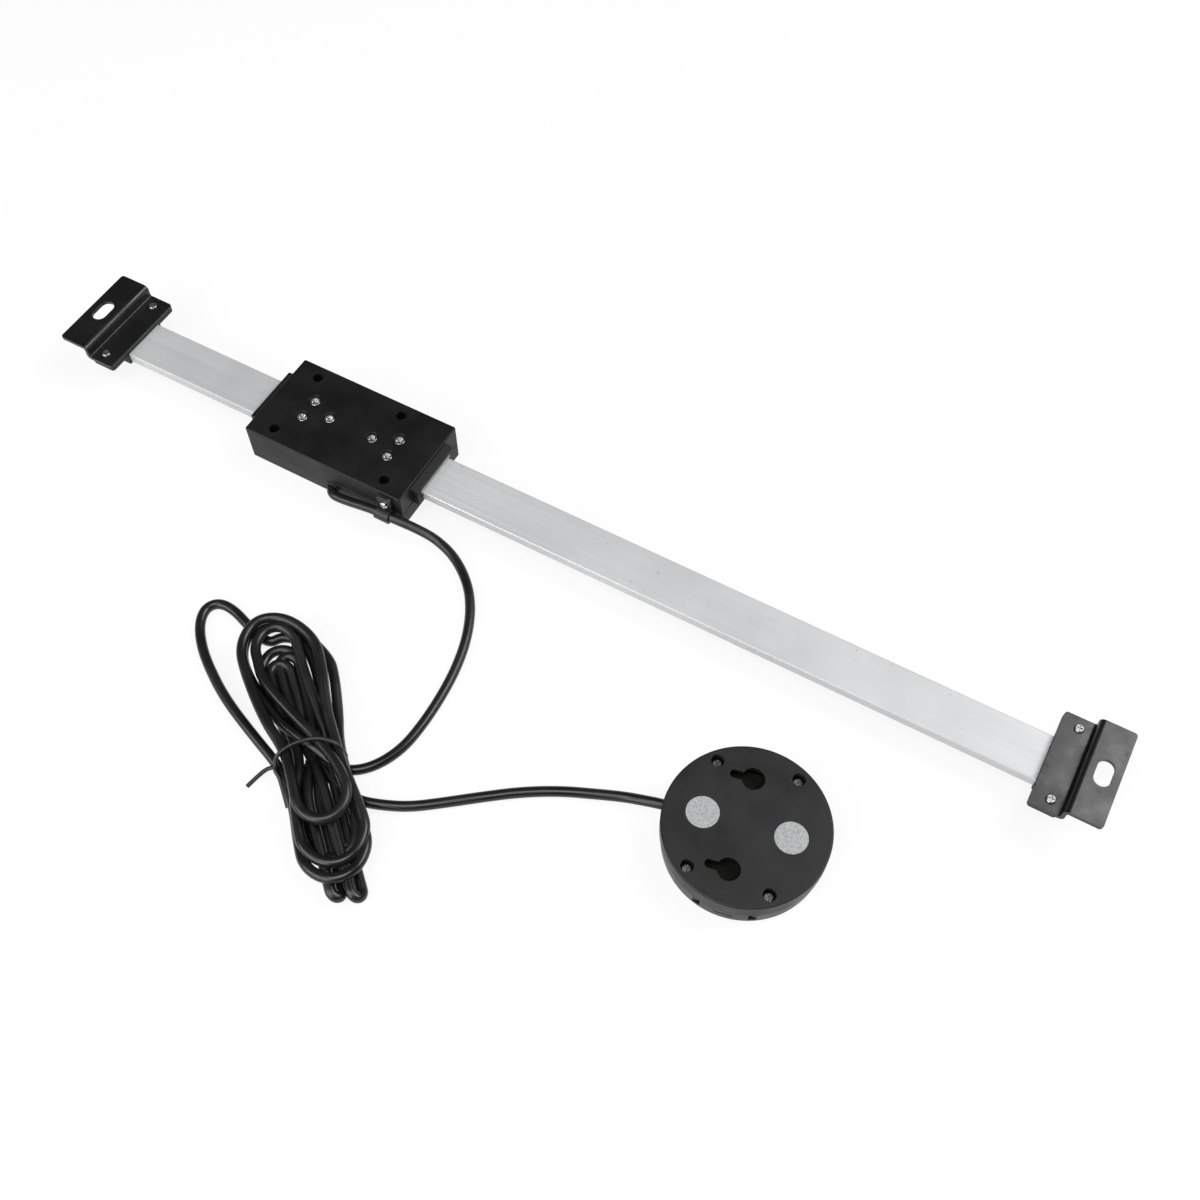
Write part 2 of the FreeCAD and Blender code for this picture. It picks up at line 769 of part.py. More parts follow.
def make_gib_set_screws():
    body = new_piece("gib_set_screws")
    low = beam_top + d.run_gap / 2 + d.gib_thickness
    length = d.head_height - d.set_screw_sink - low
    rods = sketch_on(body, "XY_Plane")
    draw_set_screw_places(rods, draw_circle, d.set_screw / 2)
    grow(body, rods, length)
    chamfer(body, d.set_screw * 0.1, lambda edge: level(edge, "z", length))
    sockets = sketch_on(body, "XY_Plane", length - d.set_screw_socket)
    draw_set_screw_places(sockets, draw_hexagon, d.set_screw * 0.29)
    cut(body, sockets, d.set_screw_socket)
    put(body, 0.0, 0.0, low)


def make_wiper(label, start):
    """A felt strip in the nose that wipes the beam's back."""
    body = new_piece(label)
    felt = sketch_on(body, "YZ_Plane")
    top = d.run_gap / 2 + d.wiper_height - d.piece_fit
    draw_box(felt, -d.wiper_width / 2, d.wiper_width / 2, 0.0, top)
    grow(body, felt, d.wiper_depth)
    put(body, start, 0.0, beam_top + d.run_gap / 2)


def make_cable_grommet():
    """A flanged sleeve round the cable in the front cover's near wall."""
    body = new_piece("cable_grommet")
    sleeve = sketch_on(body, "XZ_Plane", -d.grommet_length)
    draw_circle(sleeve, 0.0, 0.0, d.outlet_hole / 2 - d.piece_fit)
    grow(body, sleeve, d.grommet_length)
    flange = sketch_on(body, "XZ_Plane")
    draw_circle(flange, 0.0, 0.0, d.grommet_flange_size / 2)
    grow(body, flange, d.grommet_flange)
    chamfer(body, d.grommet_flange * 0.5, lambda edge: level(edge, "y", -d.grommet_flange))
    bore = sketch_on(body, "XZ_Plane", -d.grommet_length)
    draw_circle(bore, 0.0, 0.0, cable_radius + d.piece_fit)
    cut(body, bore, d.grommet_length + d.grommet_flange)
    put(body, d.outlet_x, near_wall, d.outlet_z)


def make_cable_clip():
    """A P-shaped strap: a loop round the cable and a tab on the head's near wall."""
    body = new_piece("cable_clip")
    start = -d.clip_width / 2
    loop = sketch_on(body, "YZ_Plane", start)
    draw_circle(loop, -clip_outer, 0.0, clip_outer)
    grow(body, loop, d.clip_width)
    tab = sketch_on(body, "YZ_Plane", start)
    tab_thickness = d.clip_strap * 2
    tab_height = d.clip_tab_top - d.clip_cable_z
    draw_box(tab, -tab_thickness, 0.0, 0.0, tab_height)
    grow(body, tab, d.clip_width)
    fillet(body, d.clip_corner, lambda edge: level(edge, "z", tab_height)
           and either_side(edge, "x", d.clip_width / 2))
    bore = sketch_on(body, "YZ_Plane", start)
    draw_circle(bore, -clip_outer, 0.0, clip_inner)
    cut(body, bore, d.clip_width)
    hole = sketch_on(body, "XZ_Plane")
    draw_circle(hole, 0.0, d.clip_screw_z - d.clip_cable_z, d.clip_screw_shank / 2 + d.piece_fit * 2)
    cut(body, hole, tab_thickness)
    put(body, clip_x, near_wall, d.clip_cable_z)


def make_clip_screw():
    body = make_pan_screws("clip_screw", [(ZERO, ZERO)], d.clip_screw_head, d.clip_screw_rise,
                           d.clip_screw_shank, d.clip_screw_bite + d.clip_strap * 2 - d.run_gap)
    lying = FreeCAD.Rotation(FreeCAD.Vector(1, 0, 0), 90)
    body.Placement = FreeCAD.Placement(FreeCAD.Vector(0, 0, 0), lying)
    bind(body, "Placement.Base.x", clip_x)
    bind(body, "Placement.Base.y", near_wall - d.clip_strap * 2)
    bind(body, "Placement.Base.z", d.clip_screw_z)


# The cable's free runs, its hank and the tie

# The head lead from its outlet along the near wall, from the outlet's middle in that wall
OUTLET_STEPS = [
    (0.0, 1.75, 0.0), (0.0, -0.35, 0.0), (1.05, -2.15, 0.1), (2.85, -3.2, 0.2), (6.6, -3.3, 0.4),
    (11.1, -3.2, 1.0), (17.1, -2.95, 2.1), (22.6, -2.7, 2.9),
]
# The same lead just past the clip, from the clip
CLIP_STEPS = [(6.3, 0.5, -0.6), (13.7, 1.85, -2.4)]
# Its arc along the floor, in the row frame
FLOOR_ARC = [
    (54.0, -21.6, 3.2), (65.0, -25.0, 2.2), (75.9, -33.2, 2.05), (83.2, -43.0, 2.05), (88.6, -55.0, 2.05),
    (91.8, -68.0, 2.05), (93.2, -81.0, 2.05), (93.4, -94.0, 2.05), (92.2, -106.0, 2.05),
]
# Its end inside the hank, from the hank's middle
HANK_ENTRY = [(20.4, 8.6, 2.05), (12.0, 2.4, 2.6), (2.0, -0.6, 3.8)]
# The one turn that has come away on the hank's left, from the hank's middle
LOOSE_STEPS = [
    (-33.0, 28.0, 3.2), (-44.0, 31.4, 2.5), (-55.0, 34.2, 2.05), (-64.4, 37.4, 2.05), (-71.6, 37.4, 2.05),
    (-75.0, 33.0, 2.05), (-73.0, 26.4, 2.05), (-67.4, 19.8, 2.05), (-59.4, 13.4, 2.05), (-44.6, 4.6, 2.05),
    (-26.0, -2.8, 2.4), (-11.0, -5.0, 3.2),
]
# The display lead's start in the hank, from the hank's middle
HANK_EXIT = [(13.0, -7.0, 3.2), (23.0, -5.6, 2.2), (31.6, -2.6, 2.05)]
# Its run along the floor, in the row frame
FLOOR_RUN = [
    (107.4, -123.4, 2.05), (117.0, -116.2, 2.05), (127.4, -108.0, 2.05), (138.8, -99.4, 2.05),
    (151.2, -92.0, 2.05), (163.6, -86.6, 2.2),
]
# Its rise to the display, from the bush in the display's own frame
BUSH_STEPS = [(-14.5, -0.4, -2.5), (-6.8, -0.2, -1.0), (-0.6, 0.0, -0.1), (4.0, 0.0, 0.0)]
# The tie's two tails, from the hank's middle
TIE_TAILS = [
    [(-8.4, -7.8, 4.2), (-12.4, -12.2, 3.4), (-16.4, -20.0, 0.8)],
    [(-8.4, -7.8, 4.2), (-4.6, -13.0, 2.6), (1.6, -19.6, 0.8)],
]
ARC_SHARE = 0.45
VOLUME_MARGIN = 0.02


def rounded_path(label, points):
    """Straight runs joined by tangent arcs, each as large as its two runs allow."""
    corners = [FreeCAD.Vector(*point) for point in points]
    edges = []
    radii = []
    start = corners[0]
    for before, corner, after in zip(corners, corners[1:], corners[2:]):
        back = (before - corner).normalize()
        ahead = (after - corner).normalize()
        shorter = min((before - corner).Length, (after - corner).Length)
        turn = math.pi - back.getAngle(ahead)
        reach = ARC_SHARE * shorter
        radius = reach / math.tan(turn / 2)
        radii.append(radius)
        middle_way = (back + ahead).normalize()
        middle = corner + middle_way * (radius / math.cos(turn / 2) - radius)
        edges.append(Part.LineSegment(start, corner + back * reach).toShape())
        edges.append(Part.Arc(corner + back * reach, middle, corner + ahead * reach).toShape())
        start = corner + ahead * reach
    edges.append(Part.LineSegment(start, corners[-1]).toShape())
    path = Part.Wire(edges)
    print(label, "length", round(path.Length, 1), "radii", [round(radius, 1) for radius in radii])
    return path


def tube(label, points, radius):
    path = rounded_path(label, points)
    start = FreeCAD.Vector(*points[0])
    direction = FreeCAD.Vector(*points[1]) - start
    section = Part.Wire(Part.Circle(start, direction, radius).toShape())
    shape = path.makePipeShell([section], True, False)
    expected = math.pi * radius ** 2 * path.Length
    if abs(shape.Volume - expected) > VOLUME_MARGIN * expected:
        raise RuntimeError(f"{label} has volume {shape.Volume}, not {expected}")
    return shape


def new_feature(label, shape):
    feature = doc.addObject("Part::Feature", label)
    feature.Label = label
    feature.Shape = shape
    feature.Placement = FreeCAD.Placement()
    pieces.append(feature)


def steps_from(base, steps):
    """The route points that lie at these steps from a base point."""
    return [tuple(along + step for along, step in zip(base, point)) for point in steps]


def hank_steps(steps):
    return steps_from((sheet.get("hank_x"), sheet.get("hank_y"), 0.0), steps)


def display_steps(steps):
    """Steps from the display's bush, turned with the display."""
    turn = FreeCAD.Rotation(FreeCAD.Vector(0, 0, 1), sheet.get("display_turn"))
    centre = FreeCAD.Vector(sheet.get("display_x"), sheet.get("display_y"), 0)
    bush = FreeCAD.Vector(-sheet.get("display_diameter") / 2, sheet.get("bush_y"), sheet.get("bush_z"))
    return [tuple(centre + turn.multVec(bush + FreeCAD.Vector(*step))) for step in steps]


def head_lead_route():
    outlet = (sheet.get("outlet_x"), number(near_wall), sheet.get("outlet_z"))
    clip = (number(clip_x), number(near_wall - clip_outer), sheet.get("clip_cable_z"))
    route = steps_from(outlet, OUTLET_STEPS) + [clip] + steps_from(clip, CLIP_STEPS)
    return route + FLOOR_ARC + hank_steps(HANK_ENTRY)


def make_cable_runs():
    radius = sheet.get("cable_diameter") / 2
    display_route = hank_steps(HANK_EXIT) + FLOOR_RUN + display_steps(BUSH_STEPS)
    new_feature("cable_head_lead", tube("cable_head_lead", head_lead_route(), radius))
    new_feature("cable_loose_turn", tube("cable_loose_turn", hank_steps(LOOSE_STEPS), radius))
    new_feature("cable_display_lead", tube("cable_display_lead", display_route, radius))


def make_cable_hank():
    """The outer shape of the tied turns: a wide upper lobe, a waist at the tie and a lower lobe."""
    body = new_piece("cable_hank")
    outline = sketch_on(body, "XY_Plane")
    corners = [
        (-d.hank_top, -d.hank_top_half), (0.0, -d.hank_waist_half),
        (d.hank_bottom, -d.hank_bottom_half), (d.hank_bottom, d.hank_bottom_half),
        (0.0, d.hank_waist_half), (-d.hank_top, d.hank_top_half),
    ]
    draw_outline(outline, corners)
    grow(body, outline, d.hank_height)
    fillet(body, d.hank_top_half * 0.9, lambda edge: level(edge, "x", -d.hank_top)
           and either_side(edge, "y", d.hank_top_half))
    fillet(body, d.hank_bottom_half * 0.9, lambda edge: level(edge, "x", d.hank_bottom)
           and either_side(edge, "y", d.hank_bottom_half))
    fillet(body, d.hank_edge, lambda edge: level(edge, "z", 0.0) or level(edge, "z", d.hank_height))
    put(body, d.hank_x, d.hank_y, 0.0, d.hank_turn)


def make_cable_tie():
    """A wire tie round the hank's waist, with its two tails."""
    wire = sheet.get("tie_diameter")
    half = sheet.get("hank_waist_half") + wire / 2
    top = sheet.get("hank_height") + wire
    turn = FreeCAD.Rotation(FreeCAD.Vector(0, 0, 1), sheet.get("hank_turn"))
    place = FreeCAD.Placement(FreeCAD.Vector(sheet.get("hank_x"), sheet.get("hank_y"), 0), turn)
    outer = Part.makeBox(wire, 2 * half + wire, top, FreeCAD.Vector(-wire / 2, -half - wire / 2, 0))
    corner = sheet.get("hank_edge")
    outer = outer.makeFillet(corner, [edge for edge in outer.Edges if abs(edge.Length - wire) < NEAR])
    inner_corner = FreeCAD.Vector(-wire / 2, -half + wire / 2, wire)
    inner = Part.makeBox(wire, 2 * half - wire, top - 2 * wire, inner_corner)
    inner = inner.makeFillet(corner - wire, [edge for edge in inner.Edges if abs(edge.Length - wire) < NEAR])
    shape = outer.cut(inner)
    shape.Placement = place
    for tail in TIE_TAILS:
        shape = shape.fuse(tube("tie_tail", hank_steps(tail), wire / 2))
    new_feature("cable_tie", shape.removeSplitter())


# The round remote display, in its own frame with the cable on its -x side

display_radius = d.display_diameter / 2
face_inside = d.face_sink + d.face_thickness
display_inside = d.display_thickness - d.display_back_wall
display_screw_seat = d.display_thickness - d.display_screw_head_sink - d.display_screw_head_height


def put_in_display(body, z=0.0):
    put(body, d.display_x, d.display_y, z, d.display_turn)


def display_screw_places():
    places = []
    for side in (-1, 1):
        places.append((-d.display_screw_left_x, d.display_screw_left_y * side))
        places.append((d.display_screw_right_x, d.display_screw_right_y * side))
    return places


def draw_display_screw_places(sketch, radius):
    for x, y in display_screw_places():
        draw_circle(sketch, x, y, radius)


def make_display_back_cover():
    """The cover over the housing: a straight rim, two magnet pockets, two keyholes and sunk screws."""
    body = new_piece("display_back_cover")
    inner = display_radius - d.display_wall
    revolve(body, [
        (0.0, display_inside), (inner, display_inside), (inner, d.display_front_height),
        (display_radius, d.display_front_height),
        (display_radius, d.display_thickness), (0.0, d.display_thickness),
    ])
    fillet(body, d.display_edge, lambda edge: level(edge, "z", d.display_thickness))
    posts = sketch_on(body, "XY_Plane", d.display_front_height)
    draw_display_screw_places(posts, d.display_screw_hole / 2 + d.display_wall / 2)
    grow(body, posts, display_inside - d.display_front_height)
    seat = display_screw_seat
    counterbores = sketch_on(body, "XY_Plane", seat)
    draw_display_screw_places(counterbores, d.display_screw_hole / 2)
    cut(body, counterbores, d.display_thickness - seat)
    through = sketch_on(body, "XY_Plane", d.display_front_height)
    draw_display_screw_places(through, d.display_screw_shank / 2 + d.piece_fit * 2)
    cut(body, through, seat - d.display_front_height)
    magnet_depth = d.magnet_thickness + d.magnet_sink
    magnets = sketch_on(body, "XY_Plane", d.display_thickness - magnet_depth)
    for side in (-1, 1):
        draw_circle(magnets, d.magnet_x * side, 0.0, d.magnet_diameter / 2 + d.piece_fit)
    cut(body, magnets, magnet_depth)
    for side in (-1, 1):
        y = d.keyhole_y * side
        entry = sketch_on(body, "XY_Plane", display_inside)
        draw_circle(entry, d.keyhole_x, y, d.keyhole_diameter / 2)
        cut(body, entry, d.display_back_wall)
        slot = sketch_on(body, "XY_Plane", display_inside)
        draw_slot(slot, (d.keyhole_x, y), (d.keyhole_x - d.keyhole_reach, y), d.keyhole_slot / 2)
        cut(body, slot, d.display_back_wall)
    put_in_display(body)


def make_display_front_housing():
    """The drafted front cup: a sunk face with window and buttons, posts, pegs and the drawer's opening."""
    body = new_piece("display_front_housing")
    inner = display_radius - d.display_wall
    foot = display_radius - d.display_draft
    dish = foot - d.face_rim
    revolve(body, [
        (0.0, d.face_sink), (dish, d.face_sink), (dish, 0.0), (foot, 0.0),
        (display_radius, d.display_front_height), (inner, d.display_front_height),
        (inner, face_inside), (0.0, face_inside),
    ])
    fillet(body, d.display_edge, lambda edge: level(edge, "z", 0.0)
           and edge.BoundBox.XMax > foot.number - NEAR)
    chamfer(body, d.parting_groove, lambda edge: level(edge, "z", d.display_front_height)
            and edge.BoundBox.XMax > display_radius.number - NEAR)
    posts = sketch_on(body, "XY_Plane", face_inside)
    draw_display_screw_places(posts, d.display_post / 2)
    grow(body, posts, d.display_front_height - face_inside)
    pegs = sketch_on(body, "XY_Plane", face_inside)
    for degrees in (2, 76, 178):
        angle = math.radians(degrees)
        draw_circle(pegs, d.peg_circle * math.cos(angle), d.peg_circle * math.sin(angle), d.peg_radius)
    grow(body, pegs, d.logic_height - face_inside)
    thread_low = display_screw_seat - d.display_screw_length
    bites = sketch_on(body, "XY_Plane", thread_low)
    draw_display_screw_places(bites, d.display_screw_shank / 2 + d.piece_fit)
    cut(body, bites, d.display_front_height - thread_low)
    half_length = d.window_length / 2
    half_height = d.window_height / 2
    seat = sketch_on(body, "XY_Plane", d.face_sink)
    draw_box(seat, d.window_x - half_height, d.window_x + half_height, -half_length, half_length)
    cut(body, seat, d.window_thickness)
    opening = sketch_on(body, "XY_Plane", d.face_sink)
    low_x = d.window_x - half_height + d.window_ledge
    high_x = d.window_x + half_height - d.window_ledge
    draw_box(opening, low_x, high_x, -half_length + d.window_ledge, half_length - d.window_ledge)
    cut(body, opening, d.face_thickness)
    holes = sketch_on(body, "XY_Plane", d.face_sink)
    for step in (-1, 0, 1):
        draw_circle(holes, d.button_x, d.button_pitch * step, d.button_diameter / 2 + d.button_gap)
    cut(body, holes, d.face_thickness)
    mouth = sketch_on(body, "XZ_Plane")
    half = d.drawer_half + d.drawer_gap
    draw_box(mouth, -half, half, d.drawer_bottom - d.drawer_gap, d.drawer_top + d.drawer_gap)
    cut(body, mouth, d.display_diameter)
    gland = sketch_on(body, "YZ_Plane", -display_radius)
    draw_circle(gland, d.bush_y, d.bush_z, d.bush_hole / 2)
    cut(body, gland, d.display_wall * 2)
    put_in_display(body)


def make_display_window():
    body = new_piece("display_window")
    lens = sketch_on(body, "XY_Plane")
    half_length = d.window_length / 2 - d.piece_fit
    half_height = d.window_height / 2 - d.piece_fit
    draw_box(lens, d.window_x - half_height, d.window_x + half_height, -half_length, half_length)
    grow(body, lens, d.window_thickness)
    put_in_display(body, d.face_sink)


def make_lcd_module():
    body = new_piece("lcd_module")
    glass = sketch_on(body, "XY_Plane")
    half_length = d.lcd_length / 2
    half_height = d.lcd_height / 2
    draw_box(glass, d.window_x - half_height, d.window_x + half_height, -half_length, half_length)
    grow(body, glass, d.lcd_thickness)
    put_in_display(body, face_inside)


def make_display_board():
    body = new_piece("display_board")
    board = sketch_on(body, "XY_Plane")
    draw_circle(board, 0.0, 0.0, d.logic_radius)
    grow(body, board, d.logic_thickness)
    chip = sketch_on(body, "XY_Plane", d.logic_thickness)
    chip_half = d.logic_radius / 5
    draw_box(chip, -chip_half, chip_half, -chip_half, chip_half)
    grow(body, chip, d.logic_thickness)
    put_in_display(body, d.logic_height)


def make_button(label, step):
    """A stepped push button that shows through the face and cannot fall out."""
    body = new_piece(label)
    cap = sketch_on(body, "XY_Plane", d.button_sink)
    y = d.button_pitch * step
    draw_circle(cap, d.button_x, y, d.button_diameter / 2)
    grow(body, cap, d.face_thickness + d.piece_fit - d.button_sink)
    chamfer(body, d.button_sink, lambda edge: level(edge, "z", d.button_sink))
    flange = sketch_on(body, "XY_Plane", d.face_thickness + d.piece_fit)
    draw_circle(flange, d.button_x, y, d.button_flange / 2)
    grow(body, flange, d.button_flange_thickness)
    put_in_display(body, d.face_sink)


def make_button_mat():
    """A silicone mat behind the buttons, with a pocket that each button's flange travels in."""
    body = new_piece("button_mat")
    depth = d.piece_fit * 2 + d.button_flange_thickness + d.button_travel
    mat = sketch_on(body, "XY_Plane")
    half_width = d.mat_width / 2
    draw_box(mat, d.button_x - half_width, d.button_x + half_width, -d.mat_length / 2, d.mat_length / 2)
    grow(body, mat, depth + d.mat_cover)
    pockets = sketch_on(body, "XY_Plane")
    for step in (-1, 0, 1):
        draw_circle(pockets, d.button_x, d.button_pitch * step, d.button_flange / 2 + d.button_gap)
    cut(body, pockets, depth)
    put_in_display(body, face_inside)


def draw_drawer_front(sketch):
    """The drawer's front in plan: straight inside, and round outside to follow the rim."""
    half = d.drawer_half
    outside = display_radius - d.drawer_sink
    radius = number(outside)
    reach = math.sqrt(radius ** 2 - number(half) ** 2)
    inside = -display_radius + d.drawer_front
    left = FreeCAD.Vector(-number(half), -reach, 0)
    right = FreeCAD.Vector(number(half), -reach, 0)
    top_left = FreeCAD.Vector(-number(half), number(inside), 0)
    top_right = FreeCAD.Vector(number(half), number(inside), 0)
    arc = sketch.addGeometry(Part.Arc(left, FreeCAD.Vector(0, -radius, 0), right), False)
    side_right = sketch.addGeometry(Part.LineSegment(right, top_right), False)
    back = sketch.addGeometry(Part.LineSegment(top_right, top_left), False)
    side_left = sketch.addGeometry(Part.LineSegment(top_left, left), False)
    joins = [(arc, 2, side_right, 1), (side_right, 2, back, 1)]
    joins += [(back, 2, side_left, 1), (side_left, 2, arc, 1)]
    for ends in joins:
        sketch.addConstraint(Sketcher.Constraint("Coincident", *ends))
    sketch.addConstraint(Sketcher.Constraint("Coincident", arc, 3, -1, 1))
    hold_radius(sketch, arc, outside)
    hold_point(sketch, back, 1, half, inside)
    hold_point(sketch, side_left, 1, -half, inside)
    sketch.addConstraint(Sketcher.Constraint("Vertical", side_right))
    sketch.addConstraint(Sketcher.Constraint("Vertical", side_left))


def cell_centre_y():
    return -display_radius + d.drawer_front + d.cell_gap + d.cell_diameter / 2


def make_battery_drawer():
    """A tray for the coin cell; its round front closes the rim and has a grip notch at each end."""
    body = new_piece("battery_drawer")
    front = sketch_on(body, "XY_Plane", d.drawer_bottom)
    draw_drawer_front(front)
    grow(body, front, d.drawer_top - d.drawer_bottom)
    tray = sketch_on(body, "XY_Plane", d.tray_bottom)
    inside = -display_radius + d.drawer_front
    draw_box(tray, -d.drawer_half, d.drawer_half, inside, -d.tray_end)
    tray_top = d.tray_bottom + d.tray_floor + d.cell_thickness + d.cell_gap
    grow(body, tray, tray_top - d.tray_bottom)
    well = sketch_on(body, "XY_Plane", d.tray_bottom + d.tray_floor)
    draw_circle(well, 0.0, cell_centre_y(), d.cell_diameter / 2 + d.cell_gap)
    cut(body, well, tray_top - d.tray_bottom - d.tray_floor)
    grips = sketch_on(body, "XY_Plane", d.drawer_bottom + d.grip_margin)
    for side in (-1, 1):
        grip_back = -display_radius + d.drawer_front + d.cell_gap
        draw_box(grips, d.grip_start * side, d.drawer_half * 1.1 * side, -display_radius, grip_back)
    cut(body, grips, d.drawer_top - d.drawer_bottom - d.grip_margin * 2)
    nail = sketch_on(body, "XZ_Plane", display_radius - d.nail_depth)
    nail_low = (d.drawer_bottom + d.drawer_top - d.nail_height) / 2
    draw_box(nail, -d.nail_length / 2, d.nail_length / 2, nail_low, nail_low + d.nail_height)
    cut(body, nail, d.nail_depth)
    put_in_display(body)


def make_coin_cell():
    body = new_piece("coin_cell")
    cell = sketch_on(body, "XY_Plane")
    draw_circle(cell, 0.0, cell_centre_y(), d.cell_diameter / 2)
    grow(body, cell, d.cell_thickness)
    chamfer(body, d.cell_thickness * 0.12, lambda edge: level(edge, "z", 0.0)
            or level(edge, "z", d.cell_thickness))
    put_in_display(body, d.tray_bottom + d.tray_floor)


def make_battery_contact():
    """A spring strip under the display's board, just over the coin cell."""
    body = new_piece("battery_contact")
    strip = sketch_on(body, "XY_Plane")
    half = d.contact_length / 2
    low = cell_centre_y() - d.contact_width / 2
    draw_box(strip, -half, half, low, low + d.contact_width)
    grow(body, strip, d.contact_thickness)
    put_in_display(body, d.logic_height - d.contact_thickness)


def make_display_screws():
    body = new_piece("display_screws")
    shanks = sketch_on(body, "XY_Plane", -d.display_screw_length)
    draw_display_screw_places(shanks, d.display_screw_shank / 2)
    grow(body, shanks, d.display_screw_length)
    heads = sketch_on(body, "XY_Plane")
    draw_display_screw_places(heads, d.display_screw_head / 2)
    grow(body, heads, d.display_screw_head_height)
    head_height = d.display_screw_head_height
    chamfer(body, head_height * 0.4, lambda edge: level(edge, "z", head_height))
    add_cross_recess(body, display_screw_places(), head_height, d.display_screw_head * 0.6)
    put_in_display(body, display_screw_seat)


def make_mounting_magnets():
    body = new_piece("mounting_magnets")
    discs = sketch_on(body, "XY_Plane")
    for side in (-1, 1):
        draw_circle(discs, d.magnet_x * side, 0.0, d.magnet_diameter / 2)
    grow(body, discs, d.magnet_thickness)
    put_in_display(body, d.display_thickness - d.magnet_sink - d.magnet_thickness)


def make_display_cable_bush():
    """A sleeve where the cable enters the display's rim."""
    body = new_piece("display_cable_bush")
    inside = d.display_wall * 2
    sleeve = sketch_on(body, "YZ_Plane", -display_radius)
    draw_circle(sleeve, d.bush_y, d.bush_z, d.bush_hole / 2 - d.piece_fit)
    grow(body, sleeve, inside)
    bore = sketch_on(body, "YZ_Plane", -display_radius)
    draw_circle(bore, d.bush_y, d.bush_z, cable_radius + d.piece_fit)
    cut(body, bore, inside)
    put_in_display(body)


# Assembly

make_beam()
make_scale_strip()
make_end_cap("left_end_cap", cap_left_x, 180.0)
make_end_cap("right_end_cap", cap_right_x, 0.0)
make_bracket("left_bracket", cap_left_x - d.cap_lip, 180.0)
make_bracket("right_bracket", cap_right_x + d.cap_lip, 0.0)
make_bracket_screws()
make_head_back_cover()
make_head_front_cover()
make_head_cover_screws()
make_reader_board()
make_gib_plates()
make_gib_set_screws()
nose_tip = d.head_length / 2 + d.nose_length
make_wiper("left_wiper", -nose_tip)
make_wiper("right_wiper", nose_tip - d.wiper_depth)
make_cable_grommet()
make_cable_clip()
make_clip_screw()
make_cable_runs()
make_cable_hank()
make_cable_tie()
make_display_back_cover()
make_display_front_housing()
make_display_window()
make_lcd_module()
make_display_board()
make_button("power_button", -1)
make_button("zero_button", 0)
make_button("unit_button", 1)
make_button_mat()
make_battery_drawer()
make_coin_cell()
make_battery_contact()
make_display_screws()
make_mounting_magnets()
make_display_cable_bush()
doc.recompute()

# Checks, then one file for each piece

for thing in doc.Objects:
    if "Invalid" in thing.State or "Error" in thing.State:
        raise RuntimeError(f"{thing.Name} failed: {thing.State}")
for piece in pieces:
    if piece.Shape.isNull() or not piece.Shape.isValid():
        raise RuntimeError(f"{piece.Label} has no valid shape")

os.makedirs("parts", exist_ok=True)
for piece in pieces:
    piece.Shape.exportStep(f"parts/{piece.Label}.step")
print(len(pieces), "pieces")
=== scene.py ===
import bpy
import math
from mathutils import Matrix, Vector


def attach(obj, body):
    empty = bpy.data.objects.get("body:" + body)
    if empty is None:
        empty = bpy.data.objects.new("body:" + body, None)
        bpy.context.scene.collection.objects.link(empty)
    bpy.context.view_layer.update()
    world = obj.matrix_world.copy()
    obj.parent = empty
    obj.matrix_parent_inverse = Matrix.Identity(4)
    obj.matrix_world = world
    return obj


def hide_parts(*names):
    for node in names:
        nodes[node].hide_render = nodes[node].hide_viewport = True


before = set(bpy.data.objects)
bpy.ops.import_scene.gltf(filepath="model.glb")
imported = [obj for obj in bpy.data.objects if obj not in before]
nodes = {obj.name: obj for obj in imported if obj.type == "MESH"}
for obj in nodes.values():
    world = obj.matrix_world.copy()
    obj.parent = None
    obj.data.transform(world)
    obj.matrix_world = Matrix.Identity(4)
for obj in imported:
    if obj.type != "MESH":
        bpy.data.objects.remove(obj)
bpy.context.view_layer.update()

scene = bpy.context.scene
MM = 0.001

# Camera, fitted to the corners of the head, brackets, beam and display in the photo
CAMERA_PLACE = Vector((0.25487, -0.25873, 0.45564))
CAMERA_TARGET = Vector((0.12424, -0.01288, 0.0))
CAMERA_ROLL = math.radians(1.0)
CAMERA_LENS = 40.55
CAMERA_SENSOR = 36.0
CAMERA_NEAR = 10.0 * MM


def add_camera():
    data = bpy.data.cameras.new("camera")
    data.lens = CAMERA_LENS
    data.sensor_width = CAMERA_SENSOR
    data.clip_start = CAMERA_NEAR
    camera = bpy.data.objects.new("camera", data)
    scene.collection.objects.link(camera)
    level = (CAMERA_TARGET - CAMERA_PLACE).to_track_quat("-Z", "Y").to_matrix().to_4x4()
    camera.matrix_world = Matrix.Translation(CAMERA_PLACE) @ level @ Matrix.Rotation(CAMERA_ROLL, 4, "Z")
    scene.camera = camera


add_camera()


# Material helpers

# The colour sockets of a mix node
COLOUR_A = 6
COLOUR_B = 7
COLOUR_OUT = 2
BEVEL_SAMPLES = 6
# The cosines, between a broken edge's normal and its face's, at which the lighter edge (wear and a painted
# highlight) starts and is full
WEAR_AND_HIGHLIGHT_STARTS = 0.995
WEAR_AND_HIGHLIGHT_FULL = 0.8
# How much a grain is stretched along X, Y and Z: less than 1 makes it longer that way
EVEN = (1.0, 1.0, 1.0)
STREAK_X = (0.05, 1.0, 1.0)


def new_material(name):
    made = bpy.data.materials.new(name)
    made.use_nodes = True
    tree = made.node_tree
    return made, tree, tree.nodes["Principled BSDF"]


def add_node(tree, kind, inputs=None, **settings):
    """A shader node with these settings and these constant inputs."""
    made = tree.nodes.new(kind)
    for name, value in settings.items():
        setattr(made, name, value)
    for name, value in (inputs or {}).items():
        made.inputs[name].default_value = value
    return made


